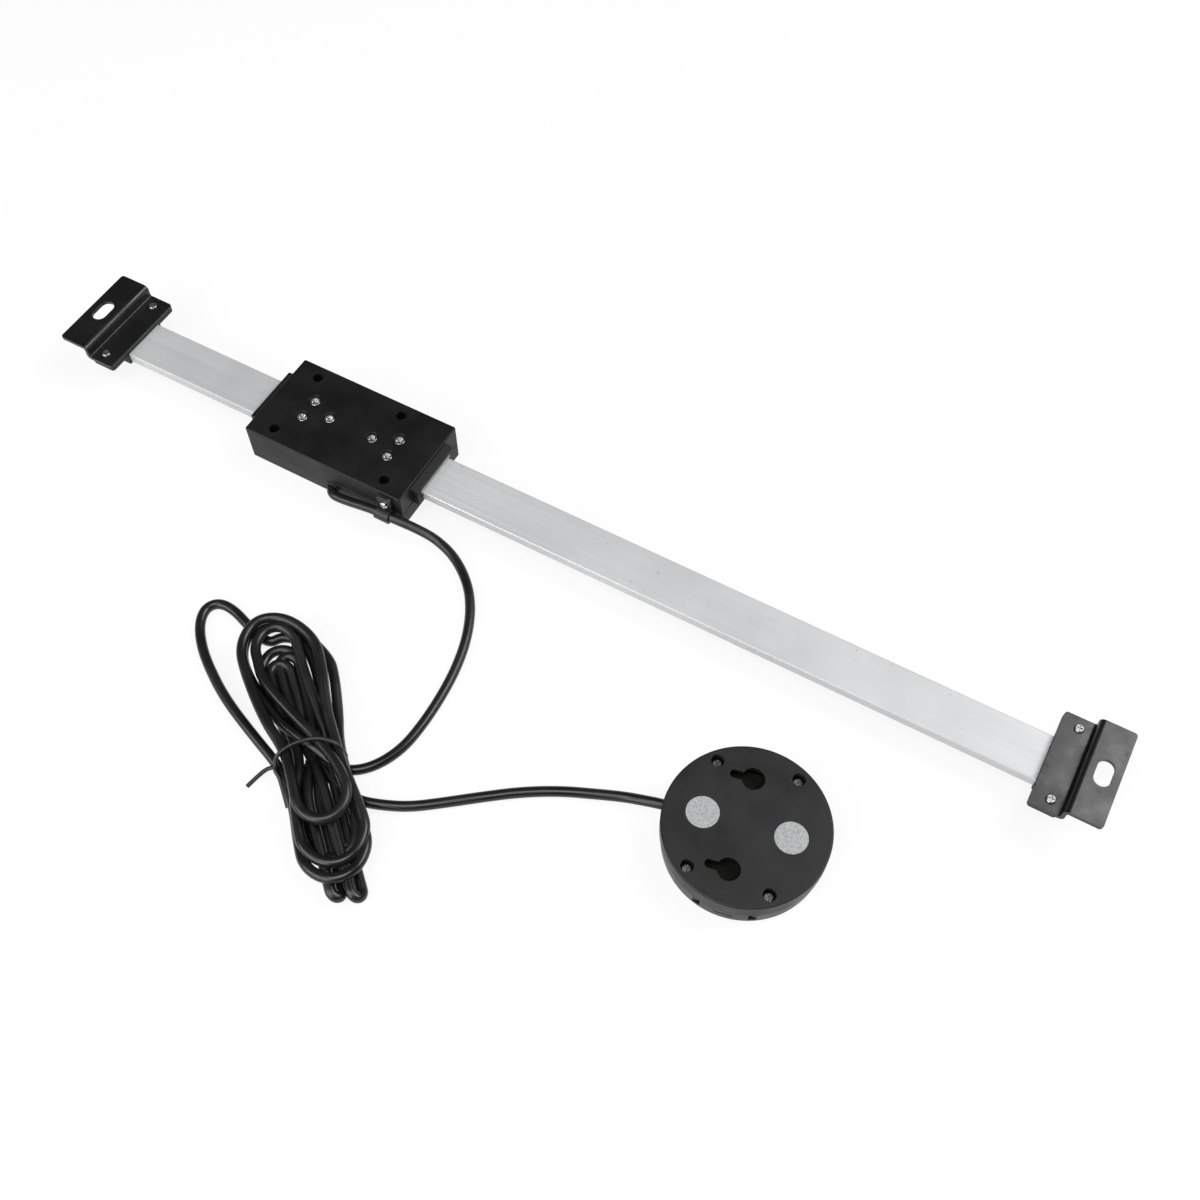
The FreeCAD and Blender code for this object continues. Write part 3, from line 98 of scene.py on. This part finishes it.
def frame_place(tree, stretch=EVEN):
    """Coordinates in metres in the shared frame, stretched for grain that runs one way."""
    place = add_node(tree, "ShaderNodeTexCoord")
    mapping = add_node(tree, "ShaderNodeMapping", {"Scale": stretch})
    tree.links.new(place.outputs["Object"], mapping.inputs["Vector"])
    return mapping.outputs["Vector"]


def noise(tree, scale, detail=3.0, roughness=0.55, stretch=EVEN):
    made = add_node(tree, "ShaderNodeTexNoise", {
        "Scale": scale, "Detail": detail, "Roughness": roughness})
    tree.links.new(frame_place(tree, stretch), made.inputs["Vector"])
    return made.outputs["Fac"]


def spread(tree, value, low, high, from_low=0.35, from_high=0.65):
    """Maps the middle of a noise's range onto a wider one."""
    made = add_node(tree, "ShaderNodeMapRange", {
        "From Min": from_low, "From Max": from_high, "To Min": low, "To Max": high})
    tree.links.new(value, made.inputs["Value"])
    return made.outputs["Result"]


def blend_colours(tree, factor, dark, light):
    made = add_node(tree, "ShaderNodeMix", data_type="RGBA")
    made.inputs[COLOUR_A].default_value = (*dark, 1.0)
    made.inputs[COLOUR_B].default_value = (*light, 1.0)
    tree.links.new(factor, made.inputs["Factor"])
    return made.outputs[COLOUR_OUT]


def paint(tree, shader, factor, dark, light):
    """Gives the shader a colour between dark and light."""
    tree.links.new(blend_colours(tree, factor, dark, light), shader.inputs["Base Color"])


def polish(tree, shader, value, low, high, **span):
    """Gives the shader a roughness between low and high."""
    tree.links.new(spread(tree, value, low, high, **span), shader.inputs["Roughness"])


def join_heights(tree, first, second, share):
    """The first height plus a share of the second."""
    made = add_node(tree, "ShaderNodeMath", operation="MULTIPLY_ADD")
    made.inputs[1].default_value = share
    tree.links.new(second, made.inputs[0])
    tree.links.new(first, made.inputs[2])
    return made.outputs["Value"]


def relief(tree, shader, height, depth, edge):
    """Fine relief of this depth on edges that are broken by this radius, both in metres."""
    bevel = add_node(tree, "ShaderNodeBevel", {"Radius": edge}, samples=BEVEL_SAMPLES)
    bump = add_node(tree, "ShaderNodeBump", {"Strength": 1.0, "Distance": depth})
    tree.links.new(height, bump.inputs["Height"])
    tree.links.new(bevel.outputs["Normal"], bump.inputs["Normal"])
    tree.links.new(bump.outputs["Normal"], shader.inputs["Normal"])


def edge_wear_and_highlight(tree, edge):
    """1 on broken edges and 0 on flat faces: where edges are painted lighter, as wear and as a painted
    highlight.
    """
    bevel = add_node(tree, "ShaderNodeBevel", {"Radius": edge}, samples=BEVEL_SAMPLES)
    geometry = add_node(tree, "ShaderNodeNewGeometry")
    dot = add_node(tree, "ShaderNodeVectorMath", operation="DOT_PRODUCT")
    tree.links.new(bevel.outputs["Normal"], dot.inputs[0])
    tree.links.new(geometry.outputs["Normal"], dot.inputs[1])
    made = add_node(tree, "ShaderNodeMapRange", {"From Min": WEAR_AND_HIGHLIGHT_STARTS, "From Max": WEAR_AND_HIGHLIGHT_FULL})
    tree.links.new(dot.outputs["Value"], made.inputs["Value"])
    return made.outputs["Result"]


# Materials

def moulded(name, dark, light, roughness, grain_scale, depth, edge, specular=0.5):
    """A moulded plastic or rubber with a fine spark-eroded grain and faint handling marks."""
    made, tree, shader = new_material(name)
    grain = noise(tree, grain_scale, detail=2.0)
    cloud = noise(tree, 60.0, detail=4.0)
    mixed = join_heights(tree, cloud, grain, 0.5)
    paint(tree, shader, spread(tree, mixed, 0.0, 1.0, from_low=0.5, from_high=1.0), dark, light)
    polish(tree, shader, cloud, roughness - 0.07, roughness + 0.07)
    shader.inputs["Specular IOR Level"].default_value = specular
    relief(tree, shader, grain, depth, edge)
    return made


def coated_steel(name):
    """Black oxide steel sheet: finger smudges, dull marks, fine rolling lines, and broken edges painted
    lighter as wear and as a painted highlight.
    """
    made, tree, shader = new_material(name)
    edge = 0.25 * MM
    smudge = noise(tree, 45.0, detail=5.0, roughness=0.65)
    lines = noise(tree, 400.0, detail=2.0, roughness=0.5, stretch=(1.0, 0.06, 1.0))
    grain = noise(tree, 2600.0, detail=2.0)
    # Broken edges painted lighter: partly wear, partly a painted edge highlight
    paint(tree, shader, edge_wear_and_highlight(tree, edge), (0.004, 0.004, 0.004), (0.04, 0.04, 0.04))
    polish(tree, shader, smudge, 0.24, 0.46)
    marks = noise(tree, 130.0, detail=4.0, roughness=0.6)
    dulled = spread(tree, marks, 0.55, 0.3, from_low=0.6, from_high=0.72)
    tree.links.new(dulled, shader.inputs["Specular IOR Level"])
    relief(tree, shader, join_heights(tree, lines, grain, 0.5), depth=0.006 * MM, edge=edge)
    return made


def metal(name, dark, light, roughness, stretch, depth, edge):
    """Bare metal with a brushed grain that runs along the stretched way."""
    made, tree, shader = new_material(name)
    lines = noise(tree, 900.0, roughness=0.6, stretch=stretch)
    cloud = noise(tree, 90.0, detail=4.0)
    paint(tree, shader, spread(tree, cloud, 0.0, 1.0), dark, light)
    polish(tree, shader, lines, roughness - 0.06, roughness + 0.06)
    shader.inputs["Metallic"].default_value = 1.0
    relief(tree, shader, lines, depth, edge)
    return made


def satin_aluminium(name):
    """Bead-blasted and anodised: a fine frost, faint long draw lines and a few dark specks."""
    made, tree, shader = new_material(name)
    frost = noise(tree, 1500.0, roughness=0.6)
    draw = noise(tree, 700.0, detail=2.0, roughness=0.5, stretch=(0.012, 1.0, 1.0))
    cloud = noise(tree, 26.0)
    specks = noise(tree, 420.0, detail=1.0, roughness=0.4)
    base = blend_colours(tree, spread(tree, cloud, 0.0, 1.0), (0.52, 0.526, 0.53), (0.58, 0.586, 0.59))
    mark = add_node(tree, "ShaderNodeMix", data_type="RGBA")
    mark.inputs[COLOUR_B].default_value = (0.42, 0.42, 0.42, 1.0)
    tree.links.new(base, mark.inputs[COLOUR_A])
    speckled = spread(tree, specks, 0.0, 0.6, from_low=0.735, from_high=0.78)
    tree.links.new(speckled, mark.inputs["Factor"])
    tree.links.new(mark.outputs[COLOUR_OUT], shader.inputs["Base Color"])
    polish(tree, shader, join_heights(tree, draw, frost, 0.4), 0.5, 0.62, from_low=0.5, from_high=0.9)
    shader.inputs["Metallic"].default_value = 0.4
    relief(tree, shader, join_heights(tree, frost, draw, 0.5), depth=0.008 * MM, edge=0.2 * MM)
    return made


def speckled_magnet(name):
    """A pale sintered disc with fine light and dark grains."""
    made, tree, shader = new_material(name)
    grains = noise(tree, 3200.0, detail=4.0, roughness=0.7)
    flecks = noise(tree, 1500.0, detail=2.0, roughness=0.6)
    mixed = join_heights(tree, grains, flecks, 0.6)
    speckled = spread(tree, mixed, 0.0, 1.0, from_low=0.62, from_high=1.0)
    paint(tree, shader, speckled, (0.21, 0.225, 0.23), (0.43, 0.45, 0.46))
    shader.inputs["Roughness"].default_value = 0.7
    relief(tree, shader, mixed, depth=0.05 * MM, edge=0.2 * MM)
    return made


def clear_window(name):
    """Clear acrylic with a faint smear in its polish."""
    made, tree, shader = new_material(name)
    polish(tree, shader, noise(tree, 70.0, detail=4.0), 0.02, 0.09)
    shader.inputs["Base Color"].default_value = (0.9, 0.93, 0.92, 1.0)
    shader.inputs["Transmission Weight"].default_value = 1.0
    shader.inputs["IOR"].default_value = 1.49
    return made


def screen_glass(name):
    """A reflective screen, switched off: grey-green with a fine cell pattern."""
    made, tree, shader = new_material(name)
    cells = add_node(tree, "ShaderNodeTexChecker", {"Scale": 1800.0})
    tree.links.new(frame_place(tree), cells.inputs["Vector"])
    paint(tree, shader, cells.outputs["Fac"], (0.30, 0.34, 0.28), (0.34, 0.38, 0.32))
    polish(tree, shader, noise(tree, 300.0), 0.12, 0.24)
    return made


def solder_board(name):
    """Black solder resist with faint copper tracks under it."""
    made, tree, shader = new_material(name)
    tracks = add_node(tree, "ShaderNodeTexBrick", {
        "Scale": 300.0, "Mortar Size": 0.05, "Color1": (0.006, 0.007, 0.006, 1.0),
        "Color2": (0.008, 0.009, 0.008, 1.0), "Mortar": (0.012, 0.012, 0.01, 1.0)})
    tree.links.new(frame_place(tree), tracks.inputs["Vector"])
    tree.links.new(tracks.outputs["Color"], shader.inputs["Base Color"])
    polish(tree, shader, noise(tree, 200.0), 0.45, 0.6)
    shader.inputs["Specular IOR Level"].default_value = 0.05
    relief(tree, shader, tracks.outputs["Fac"], depth=0.03 * MM, edge=0.1 * MM)
    return made


def felt(name):
    """Grey wool felt with matted fibres."""
    made, tree, shader = new_material(name)
    fibres = noise(tree, 1800.0, detail=5.0, roughness=0.75, stretch=(1.0, 0.35, 1.0))
    paint(tree, shader, spread(tree, fibres, 0.0, 1.0), (0.14, 0.14, 0.13), (0.36, 0.36, 0.35))
    shader.inputs["Roughness"].default_value = 0.95
    shader.inputs["Sheen Weight"].default_value = 0.4
    relief(tree, shader, fibres, depth=0.12 * MM, edge=0.2 * MM)
    return made


def scale_laminate(name):
    """A dark laminate under clear film, with the fine lines of its capacitive pattern across it."""
    made, tree, shader = new_material(name)
    bands = add_node(tree, "ShaderNodeTexWave", {"Scale": 160.0, "Distortion": 0.0}, bands_direction="X")
    tree.links.new(frame_place(tree), bands.inputs["Vector"])
    paint(tree, shader, bands.outputs["Fac"], (0.05, 0.045, 0.035), (0.16, 0.13, 0.08))
    polish(tree, shader, noise(tree, 120.0, detail=4.0), 0.22, 0.36)
    shader.inputs["Coat Weight"].default_value = 0.5
    return made


black_plastic = moulded(
    "head_plastic", dark=(0.002, 0.002, 0.0024), light=(0.005, 0.005, 0.0055),
    roughness=0.5, grain_scale=2400.0, depth=0.02 * MM, edge=0.3 * MM, specular=0.34)
cap_plastic = moulded(
    "cap_plastic", dark=(0.002, 0.002, 0.002), light=(0.005, 0.005, 0.005),
    roughness=0.55, grain_scale=2200.0, depth=0.02 * MM, edge=0.25 * MM)
display_plastic = moulded(
    "display_plastic", dark=(0.006, 0.006, 0.0064), light=(0.011, 0.011, 0.0115),
    roughness=0.46, grain_scale=2600.0, depth=0.02 * MM, edge=0.3 * MM, specular=0.36)
housing_plastic = moulded(
    "housing_plastic", dark=(0.014, 0.014, 0.0145), light=(0.022, 0.022, 0.0226),
    roughness=0.46, grain_scale=2600.0, depth=0.02 * MM, edge=0.3 * MM, specular=0.4)
drawer_plastic = moulded(
    "drawer_plastic", dark=(0.013, 0.013, 0.0135), light=(0.020, 0.020, 0.0206),
    roughness=0.48, grain_scale=2400.0, depth=0.02 * MM, edge=0.2 * MM)
sheath = moulded(
    "cable_sheath", dark=(0.005, 0.005, 0.0053), light=(0.010, 0.010, 0.0104),
    roughness=0.29, grain_scale=1600.0, depth=0.012 * MM, edge=0.1 * MM)
grommet_rubber = moulded(
    "grommet_rubber", dark=(0.005, 0.005, 0.005), light=(0.011, 0.011, 0.011),
    roughness=0.62, grain_scale=1800.0, depth=0.02 * MM, edge=0.2 * MM)
clip_nylon = moulded(
    "clip_nylon", dark=(0.006, 0.006, 0.0065), light=(0.013, 0.013, 0.0135),
    roughness=0.42, grain_scale=1800.0, depth=0.015 * MM, edge=0.2 * MM)
tie_plastic = moulded(
    "tie_plastic", dark=(0.006, 0.006, 0.006), light=(0.016, 0.016, 0.016),
    roughness=0.38, grain_scale=1500.0, depth=0.02 * MM, edge=0.1 * MM)
button_rubber = moulded(
    "button_rubber", dark=(0.06, 0.06, 0.062), light=(0.095, 0.095, 0.098),
    roughness=0.6, grain_scale=2000.0, depth=0.02 * MM, edge=0.3 * MM)
mat_silicone = moulded(
    "mat_silicone", dark=(0.035, 0.035, 0.037), light=(0.06, 0.06, 0.062),
    roughness=0.7, grain_scale=1500.0, depth=0.02 * MM, edge=0.2 * MM)
black_steel = coated_steel("black_steel")
bright_steel = metal(
    "bright_steel", dark=(0.6, 0.6, 0.61), light=(0.78, 0.78, 0.79),
    roughness=0.22, stretch=EVEN, depth=0.004 * MM, edge=0.15 * MM)
screw_steel = metal(
    "screw_steel", dark=(0.2, 0.2, 0.205), light=(0.32, 0.32, 0.325),
    roughness=0.34, stretch=EVEN, depth=0.005 * MM, edge=0.15 * MM)
dark_steel = metal(
    "dark_steel", dark=(0.10, 0.10, 0.105), light=(0.2, 0.2, 0.205),
    roughness=0.3, stretch=EVEN, depth=0.006 * MM, edge=0.15 * MM)
bronze = metal(
    "gib_bronze", dark=(0.45, 0.3, 0.13), light=(0.6, 0.42, 0.2),
    roughness=0.32, stretch=STREAK_X, depth=0.006 * MM, edge=0.15 * MM)
cell_steel = metal(
    "cell_steel", dark=(0.7, 0.7, 0.7), light=(0.82, 0.82, 0.82),
    roughness=0.18, stretch=EVEN, depth=0.003 * MM, edge=0.2 * MM)
contact_spring = metal(
    "contact_spring", dark=(0.62, 0.48, 0.22), light=(0.72, 0.58, 0.3),
    roughness=0.25, stretch=STREAK_X, depth=0.004 * MM, edge=0.1 * MM)
aluminium = satin_aluminium("satin_aluminium")
board = solder_board("board_laminate")

NODE_MATERIALS = {
    "beam": aluminium, "scale_strip": scale_laminate("strip_laminate"),
    "left_end_cap": cap_plastic, "right_end_cap": cap_plastic,
    "left_bracket": black_steel, "right_bracket": black_steel, "bracket_screws": screw_steel,
    "head_back_cover": black_plastic, "head_front_cover": black_plastic, "head_cover_screws": dark_steel,
    "reader_board": board, "gib_plates": bronze, "gib_set_screws": bright_steel,
    "cable_grommet": grommet_rubber, "cable_clip": clip_nylon, "clip_screw": bright_steel,
    "display_back_cover": display_plastic, "display_front_housing": housing_plastic,
    "display_window": clear_window("window_clear"), "lcd_module": screen_glass("screen_glass"),
    "display_board": board, "button_mat": mat_silicone,
    "battery_drawer": drawer_plastic, "coin_cell": cell_steel, "battery_contact": contact_spring,
    "display_screws": screw_steel, "mounting_magnets": speckled_magnet("magnet_grey"),
    "display_cable_bush": grommet_rubber,
}
for button in ("power_button", "zero_button", "unit_button"):
    NODE_MATERIALS[button] = button_rubber
wiper_felt = felt("wiper_felt")
for wiper in ("left_wiper", "right_wiper"):
    NODE_MATERIALS[wiper] = wiper_felt
for name, finish in NODE_MATERIALS.items():
    nodes[name].data.materials.clear()
    nodes[name].data.materials.append(finish)


# The cable: one line from the head's grommet through the hank to the display

CABLE_DIAMETER = 4.0 * MM
# How finely a cord is drawn: the bevel's resolution round it, and the steps from one point to the next
SECTION_STEPS = 6
RUN_STEPS = 8
# Route points in millimetres, as in the part's source, in the order that the cable follows them
HEAD_RUN = [
    (3.3, -20.6, 4.6), (3.3, -21.6, 4.6), (4.35, -23.4, 4.7), (6.15, -24.45, 4.8),
    (9.2, -24.6, 4.95), (14.4, -24.45, 5.6), (20.4, -24.2, 6.7), (25.9, -24.0, 7.5),
    (30.9, -24.1, 7.8), (37.2, -23.6, 7.2), (44.6, -22.25, 5.4), (54.0, -21.6, 3.2),
    (65.0, -25.0, 2.2), (75.9, -33.2, 2.05), (83.2, -43.0, 2.05), (88.6, -55.0, 2.05),
    (91.8, -68.0, 2.05), (93.2, -81.0, 2.05), (93.4, -94.0, 2.05), (92.2, -106.0, 2.05),
    (87.4, -116.4, 2.05),
]
LOOSE_RUN = [
    (41.0, -127.8, 2.4), (22.4, -120.4, 2.05), (7.6, -111.6, 2.05), (-0.4, -105.2, 2.05),
    (-6.0, -98.6, 2.05), (-8.0, -92.0, 2.05), (-4.6, -87.6, 2.05), (2.6, -87.6, 2.05),
    (12.0, -90.8, 2.05), (23.0, -93.6, 2.1),
]
DISPLAY_RUN = [
    (90.0, -130.6, 2.2), (98.6, -127.6, 2.05), (107.4, -123.4, 2.05), (117.0, -116.2, 2.05),
    (127.4, -108.0, 2.05), (138.8, -99.4, 2.05), (151.2, -92.0, 2.05), (163.6, -86.6, 2.2),
    (172.98, -83.05, 3.1), (180.48, -81.32, 4.6), (186.52, -79.89, 5.5), (191.03, -78.97, 5.6),
]
# The hank's own frame: along its length (towards its lower end), across it, and up
HANK_MIDDLE = (67.0, -125.0)
HANK_TURN = math.radians(-42.0)
# Each lobe: its tip along the hank; its places across the hank near the waist and at its widest, out and
# back; its heights out and back; how much shorter its return side is; and how far it is lifted over what
# it crosses
UPPER_SECOND = (-64.6, -9.8, -16.2, 14.8, 12.4, 5.6, 2.6, 7.0, 0.0)
LOWER_OUTER = (48.6, 9.8, 10.6, -12.6, -11.2, 4.0, 2.05, 0.0, 4.6)
LOWER_INNER = (39.6, 7.2, 8.2, -9.8, -8.2, 4.6, 2.05, 0.0, 0.0)
UPPER_MIDDLE = (-49.0, -7.6, -11.0, 4.2, 3.4, 2.05, 2.05, 0.0, 1.2)
UPPER_LOW = (-45.0, 1.8, 3.2, -4.2, -2.8, 2.05, 3.0, 0.0, 1.0)
UPPER_FRONT = (-57.5, 5.8, 4.4, -10.9, -3.0, 5.6, 8.5, 0.5, 0.0)
LOWER_FRONT = (27.2, 7.8, 9.2, -9.8, -9.0, 11.0, 9.8, 0.0, 0.0)
UPPER_OUTER = (-62.4, -13.6, -16.2, 11.6, 9.0, 8.6, 8.4, 3.0, 0.0)
LOWER_SECOND = (43.0, 9.8, 11.4, -11.4, -10.0, 8.0, 7.2, 0.0, 0.0)
UPPER_INNER = (-42.6, -6.0, -8.0, -0.4, -1.4, 4.0, 2.05, 0.0, 1.0)
# The two narrow folds at the lower end: the tip along the hank, then each strand's place across it and its
# height, a raised strand out and one on the floor back
LEFT_FOLD = (53.8, (-6.0, 5.0), (-2.3, 2.05))
RIGHT_FOLD = (56.2, (0.6, 5.0), (4.3, 2.05))
# Where a fold's strands have their points, as shares of the way to its tip
FOLD_SHARES = (0.25, 0.5, 0.75, 0.88)
# Where a lobe leaves the waist and where it is widest, as shares of the way to its tip
LOBE_SHARES = (0.30, 0.62)
# The room before the bend, in half widths, that a lobe needs for its widest point, and for one more point
# before the bend
ROOM_FOR_WIDEST = 0.4
ROOM_FOR_ONE_MORE = 2.0
# The control points of a bend, in half widths: how far back from its tip its shoulders are, how far aside of
# its middle the two points at its tip are, and how much longer than round it is
BEND_BACK = 0.586
BEND_SIDE = 0.414
BEND_STRETCH = 1.2


def hank_point(along, across, height):
    """A point of the hank's frame in the shared frame, in millimetres."""
    x = HANK_MIDDLE[0] + along * math.cos(HANK_TURN) - across * math.sin(HANK_TURN)
    y = HANK_MIDDLE[1] + along * math.sin(HANK_TURN) + across * math.cos(HANK_TURN)
    return (x, y, height)


def hank_points(*steps):
    return [hank_point(*step) for step in steps]


def lobe_side(tip, half, shoulder, waist, side):
    """One side of a lobe from the waist to the bend: a narrow lobe has more points, a wide one fewer."""
    way = math.copysign(1.0, tip)
    near, wide = LOBE_SHARES
    room = abs(shoulder - tip * wide) / abs(half)
    steps = [(tip * near, waist)]
    if room > ROOM_FOR_WIDEST:
        steps.append((tip * wide, side))
    if room > ROOM_FOR_ONE_MORE:
        steps.append((shoulder - way * abs(half), side))
    return steps + [(shoulder, side)]


def lobe(tip, waist_out, side_out, side_back, waist_back, low, high, short, lift):
    """One end of a turn: out along one side, round the tip and back along the other."""
    middle = (side_out + side_back) / 2
    half = (side_out - side_back) / 2
    way = math.copysign(1.0, tip)
    shoulder = tip - way * BEND_BACK * BEND_STRETCH * abs(half)
    inset = way * 2 * short
    steps = lobe_side(tip, half, shoulder, waist_out, side_out)
    steps += [(tip, middle + BEND_SIDE * half), (tip - way * short, middle - BEND_SIDE * half)]
    steps += reversed(lobe_side(tip - inset, half, shoulder - inset, waist_back, side_back))
    points = []
    for index, (along, across) in enumerate(steps):
        share = index / (len(steps) - 1)
        height = low + (high - low) * share + lift * math.sin(math.pi * share)
        points.append(hank_point(along, across, height))
    return points


def fold(tip, out, back):
    """One narrow end of a turn, in a tilted plane: out along one strand and back along the other."""
    half = math.dist(out, back) / 2
    places = [share * tip for share in FOLD_SHARES]
    shoulder = tip - BEND_BACK * BEND_STRETCH * half
    places += [shoulder - half, shoulder]
    steps = [(along, *out) for along in places]
    for share in (0.5 - BEND_SIDE / 2, 0.5 + BEND_SIDE / 2):
        across = out[0] + (back[0] - out[0]) * share
        height = out[1] + (back[1] - out[1]) * share
        steps.append((tip, across, height))
    steps += [(along, *back) for along in reversed(places)]
    return hank_points(*steps)


def cable_route():
    """All the cable's points: head lead, the hank's turns with the loose one among them, display lead."""
    route = list(HEAD_RUN)
    route += hank_points((8.4, 10.8, 2.05), (4.4, 6.4, 2.6), (-2.6, 1.4, 5.8), (-10.2, -4.2, 6.0))
    route += lobe(*UPPER_SECOND)
    route += hank_points((-6.0, 10.4, 3.6), (4.0, 9.6, 5.2))
    route += lobe(*LOWER_OUTER)
    route += hank_points((0.0, -12.2, 2.05))
    route += LOOSE_RUN
    route += hank_points((-55.2, 0.0, 2.3), (-51.0, 6.4, 2.05), (-41.0, 8.8, 2.05), (-29.0, 8.5, 2.05))
    route += hank_points((-16.0, 7.8, 2.05), (-5.0, 6.8, 3.6), (5.0, 6.6, 6.0))
    route += lobe(*LOWER_INNER)
    route += hank_points((0.0, -7.8, 2.05))
    route += lobe(*UPPER_MIDDLE)
    route += hank_points((2.0, -2.4, 2.05))
    route += fold(*LEFT_FOLD)
    route += hank_points((2.0, 1.2, 2.05))
    route += lobe(*UPPER_LOW)
    route += hank_points((-4.0, -1.8, 3.0), (5.0, 0.2, 4.6))
    route += fold(*RIGHT_FOLD)
    route += hank_points((2.0, 5.0, 2.05), (-6.0, 6.0, 3.8))
    route += lobe(*UPPER_FRONT)
    route += hank_points((-6.0, 2.4, 9.4))
    route += lobe(*LOWER_FRONT)
    route += hank_points((-4.0, -9.2, 9.4))
    route += lobe(*UPPER_OUTER)
    route += hank_points((-5.0, 9.0, 8.2), (5.0, 9.0, 7.8))
    route += lobe(*LOWER_SECOND)
    route += hank_points((0.0, -4.9, 4.6))
    route += lobe(*UPPER_INNER)
    route += hank_points((-2.0, 1.4, 2.05), (8.0, 3.2, 2.05), (15.0, 6.8, 2.05))
    return route + DISPLAY_RUN


def smooth_line(name, points, radius, finish):
    """A round cord whose one smooth spline has these points, in millimetres, as control points."""
    curve = bpy.data.curves.new(name, "CURVE")
    curve.dimensions = "3D"
    curve.bevel_depth = radius
    curve.bevel_resolution = SECTION_STEPS
    curve.resolution_u = RUN_STEPS
    curve.use_fill_caps = True
    spline = curve.splines.new("NURBS")
    spline.points.add(len(points) - 1)
    for control, point in zip(spline.points, points):
        control.co = (*(Vector(point) * MM), 1.0)
    spline.order_u = 3
    spline.use_endpoint_u = True
    curve.materials.append(finish)
    line = bpy.data.objects.new(name, curve)
    scene.collection.objects.link(line)
    return line


cable = smooth_line("cable", cable_route(), CABLE_DIAMETER / 2, sheath)
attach(cable, "reader")
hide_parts("cable_head_lead", "cable_loose_turn", "cable_display_lead", "cable_hank")

# The wire tie round the hank's waist, from one tail's end through the knot to the other's
TIE_DIAMETER = 1.6 * MM
TIE_STEPS = [
    (1.6, -25.8, 0.9), (-0.4, -22.0, 1.6), (-2.2, -17.0, 3.0), (-0.6, -13.4, 4.2),
    (-0.6, -13.6, 8.4), (-1.8, -11.8, 11.8), (-3.4, -7.0, 12.9), (-3.8, -1.0, 13.0),
    (-2.6, 4.6, 13.0), (0.4, 9.0, 11.6), (2.6, 10.8, 8.0), (3.0, 11.4, 2.6), (2.2, 8.4, 0.9),
    (0.8, 0.0, 0.8), (-0.4, -9.0, 0.9), (-1.4, -12.8, 2.4), (-0.6, -13.4, 4.6), (0.8, -14.6, 5.2),
    (2.6, -13.8, 4.2), (6.0, -13.6, 2.8), (14.4, -13.6, 0.9),
]
tie = smooth_line("wire_tie", hank_points(*TIE_STEPS), TIE_DIAMETER / 2, tie_plastic)
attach(tie, "reader")
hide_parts("cable_tie")


# Studio: a white floor, a soft sky and three soft boxes

FLOOR_REACH = 6.0
# The floor lies just under the part, so that the two never share a plane
FLOOR_DROP = 0.05 * MM
# How much of the floor's look is plain white; the rest keeps the part's shadow
FLOOR_WHITE = 0.86
SKY_LIGHT = 0.1
LIGHT_TARGET = (0.12, -0.05, 0.0)
# Each soft box: its place, width, height and power in watts
SOFT_BOXES = {
    "key": ((0.78, 0.55, 0.95), 0.8, 0.8, 12.0),
    "front": ((-0.3, -0.95, 0.6), 1.2, 0.7, 10.5),
    "top": ((0.15, -0.45, 1.2), 0.9, 0.7, 8.0),
}


def seen_by(tree, *kinds):
    """1 for rays of these kinds and 0 for the rest."""
    rays = add_node(tree, "ShaderNodeLightPath")
    seen = rays.outputs[kinds[0]]
    for kind in kinds[1:]:
        either = add_node(tree, "ShaderNodeMath", operation="MAXIMUM")
        tree.links.new(seen, either.inputs[0])
        tree.links.new(rays.outputs[kind], either.inputs[1])
        seen = either.outputs["Value"]
    return seen


def add_floor():
    mesh = bpy.data.meshes.new("floor")
    corners = [(x * FLOOR_REACH, y * FLOOR_REACH, 0.0) for x, y in ((-1, -1), (1, -1), (1, 1), (-1, 1))]
    mesh.from_pydata(corners, [], [(0, 1, 2, 3)])
    floor = bpy.data.objects.new("floor", mesh)
    floor.location.z = -FLOOR_DROP
    scene.collection.objects.link(floor)
    made, tree, shader = new_material("floor_paper")
    shader.inputs["Roughness"].default_value = 0.9
    shader.inputs["Specular IOR Level"].default_value = 0.1
    paint(tree, shader, noise(tree, 9.0), (0.86, 0.86, 0.86), (0.88, 0.88, 0.88))
    glow = add_node(tree, "ShaderNodeEmission", {"Color": (1.0, 1.0, 1.0, 1.0), "Strength": 1.0})
    share = add_node(tree, "ShaderNodeMath", operation="MULTIPLY")
    share.inputs[1].default_value = FLOOR_WHITE
    mix = add_node(tree, "ShaderNodeMixShader")
    white = seen_by(tree, "Is Camera Ray", "Is Glossy Ray", "Is Transmission Ray")
    tree.links.new(white, share.inputs[0])
    tree.links.new(share.outputs["Value"], mix.inputs["Fac"])
    tree.links.new(shader.outputs["BSDF"], mix.inputs[1])
    tree.links.new(glow.outputs["Emission"], mix.inputs[2])
    tree.links.new(mix.outputs["Shader"], tree.nodes["Material Output"].inputs["Surface"])
    floor.data.materials.append(made)


def add_sky(strength):
    """A background that is white to the camera and through glass, and has this strength as light."""
    world = bpy.data.worlds.new("sky")
    world.use_nodes = True
    tree = world.node_tree
    glow = add_node(tree, "ShaderNodeMapRange", {"To Min": strength, "To Max": 1.0})
    tree.nodes["Background"].inputs["Color"].default_value = (1.0, 1.0, 1.0, 1.0)
    tree.links.new(seen_by(tree, "Is Camera Ray", "Is Transmission Ray"), glow.inputs["Value"])
    tree.links.new(glow.outputs["Result"], tree.nodes["Background"].inputs["Strength"])
    scene.world = world


def add_soft_box(name, place, target, width, height, power):
    data = bpy.data.lights.new(name, "AREA")
    data.shape = "RECTANGLE"
    data.size = width
    data.size_y = height
    data.energy = power
    light = bpy.data.objects.new(name, data)
    light.location = place
    light.rotation_euler = (Vector(target) - Vector(place)).to_track_quat("-Z", "Y").to_euler()
    scene.collection.objects.link(light)


add_floor()
add_sky(SKY_LIGHT)
for name, (place, width, height, power) in SOFT_BOXES.items():
    add_soft_box(name, place, LIGHT_TARGET, width, height, power)
scene.view_settings.view_transform = "Standard"
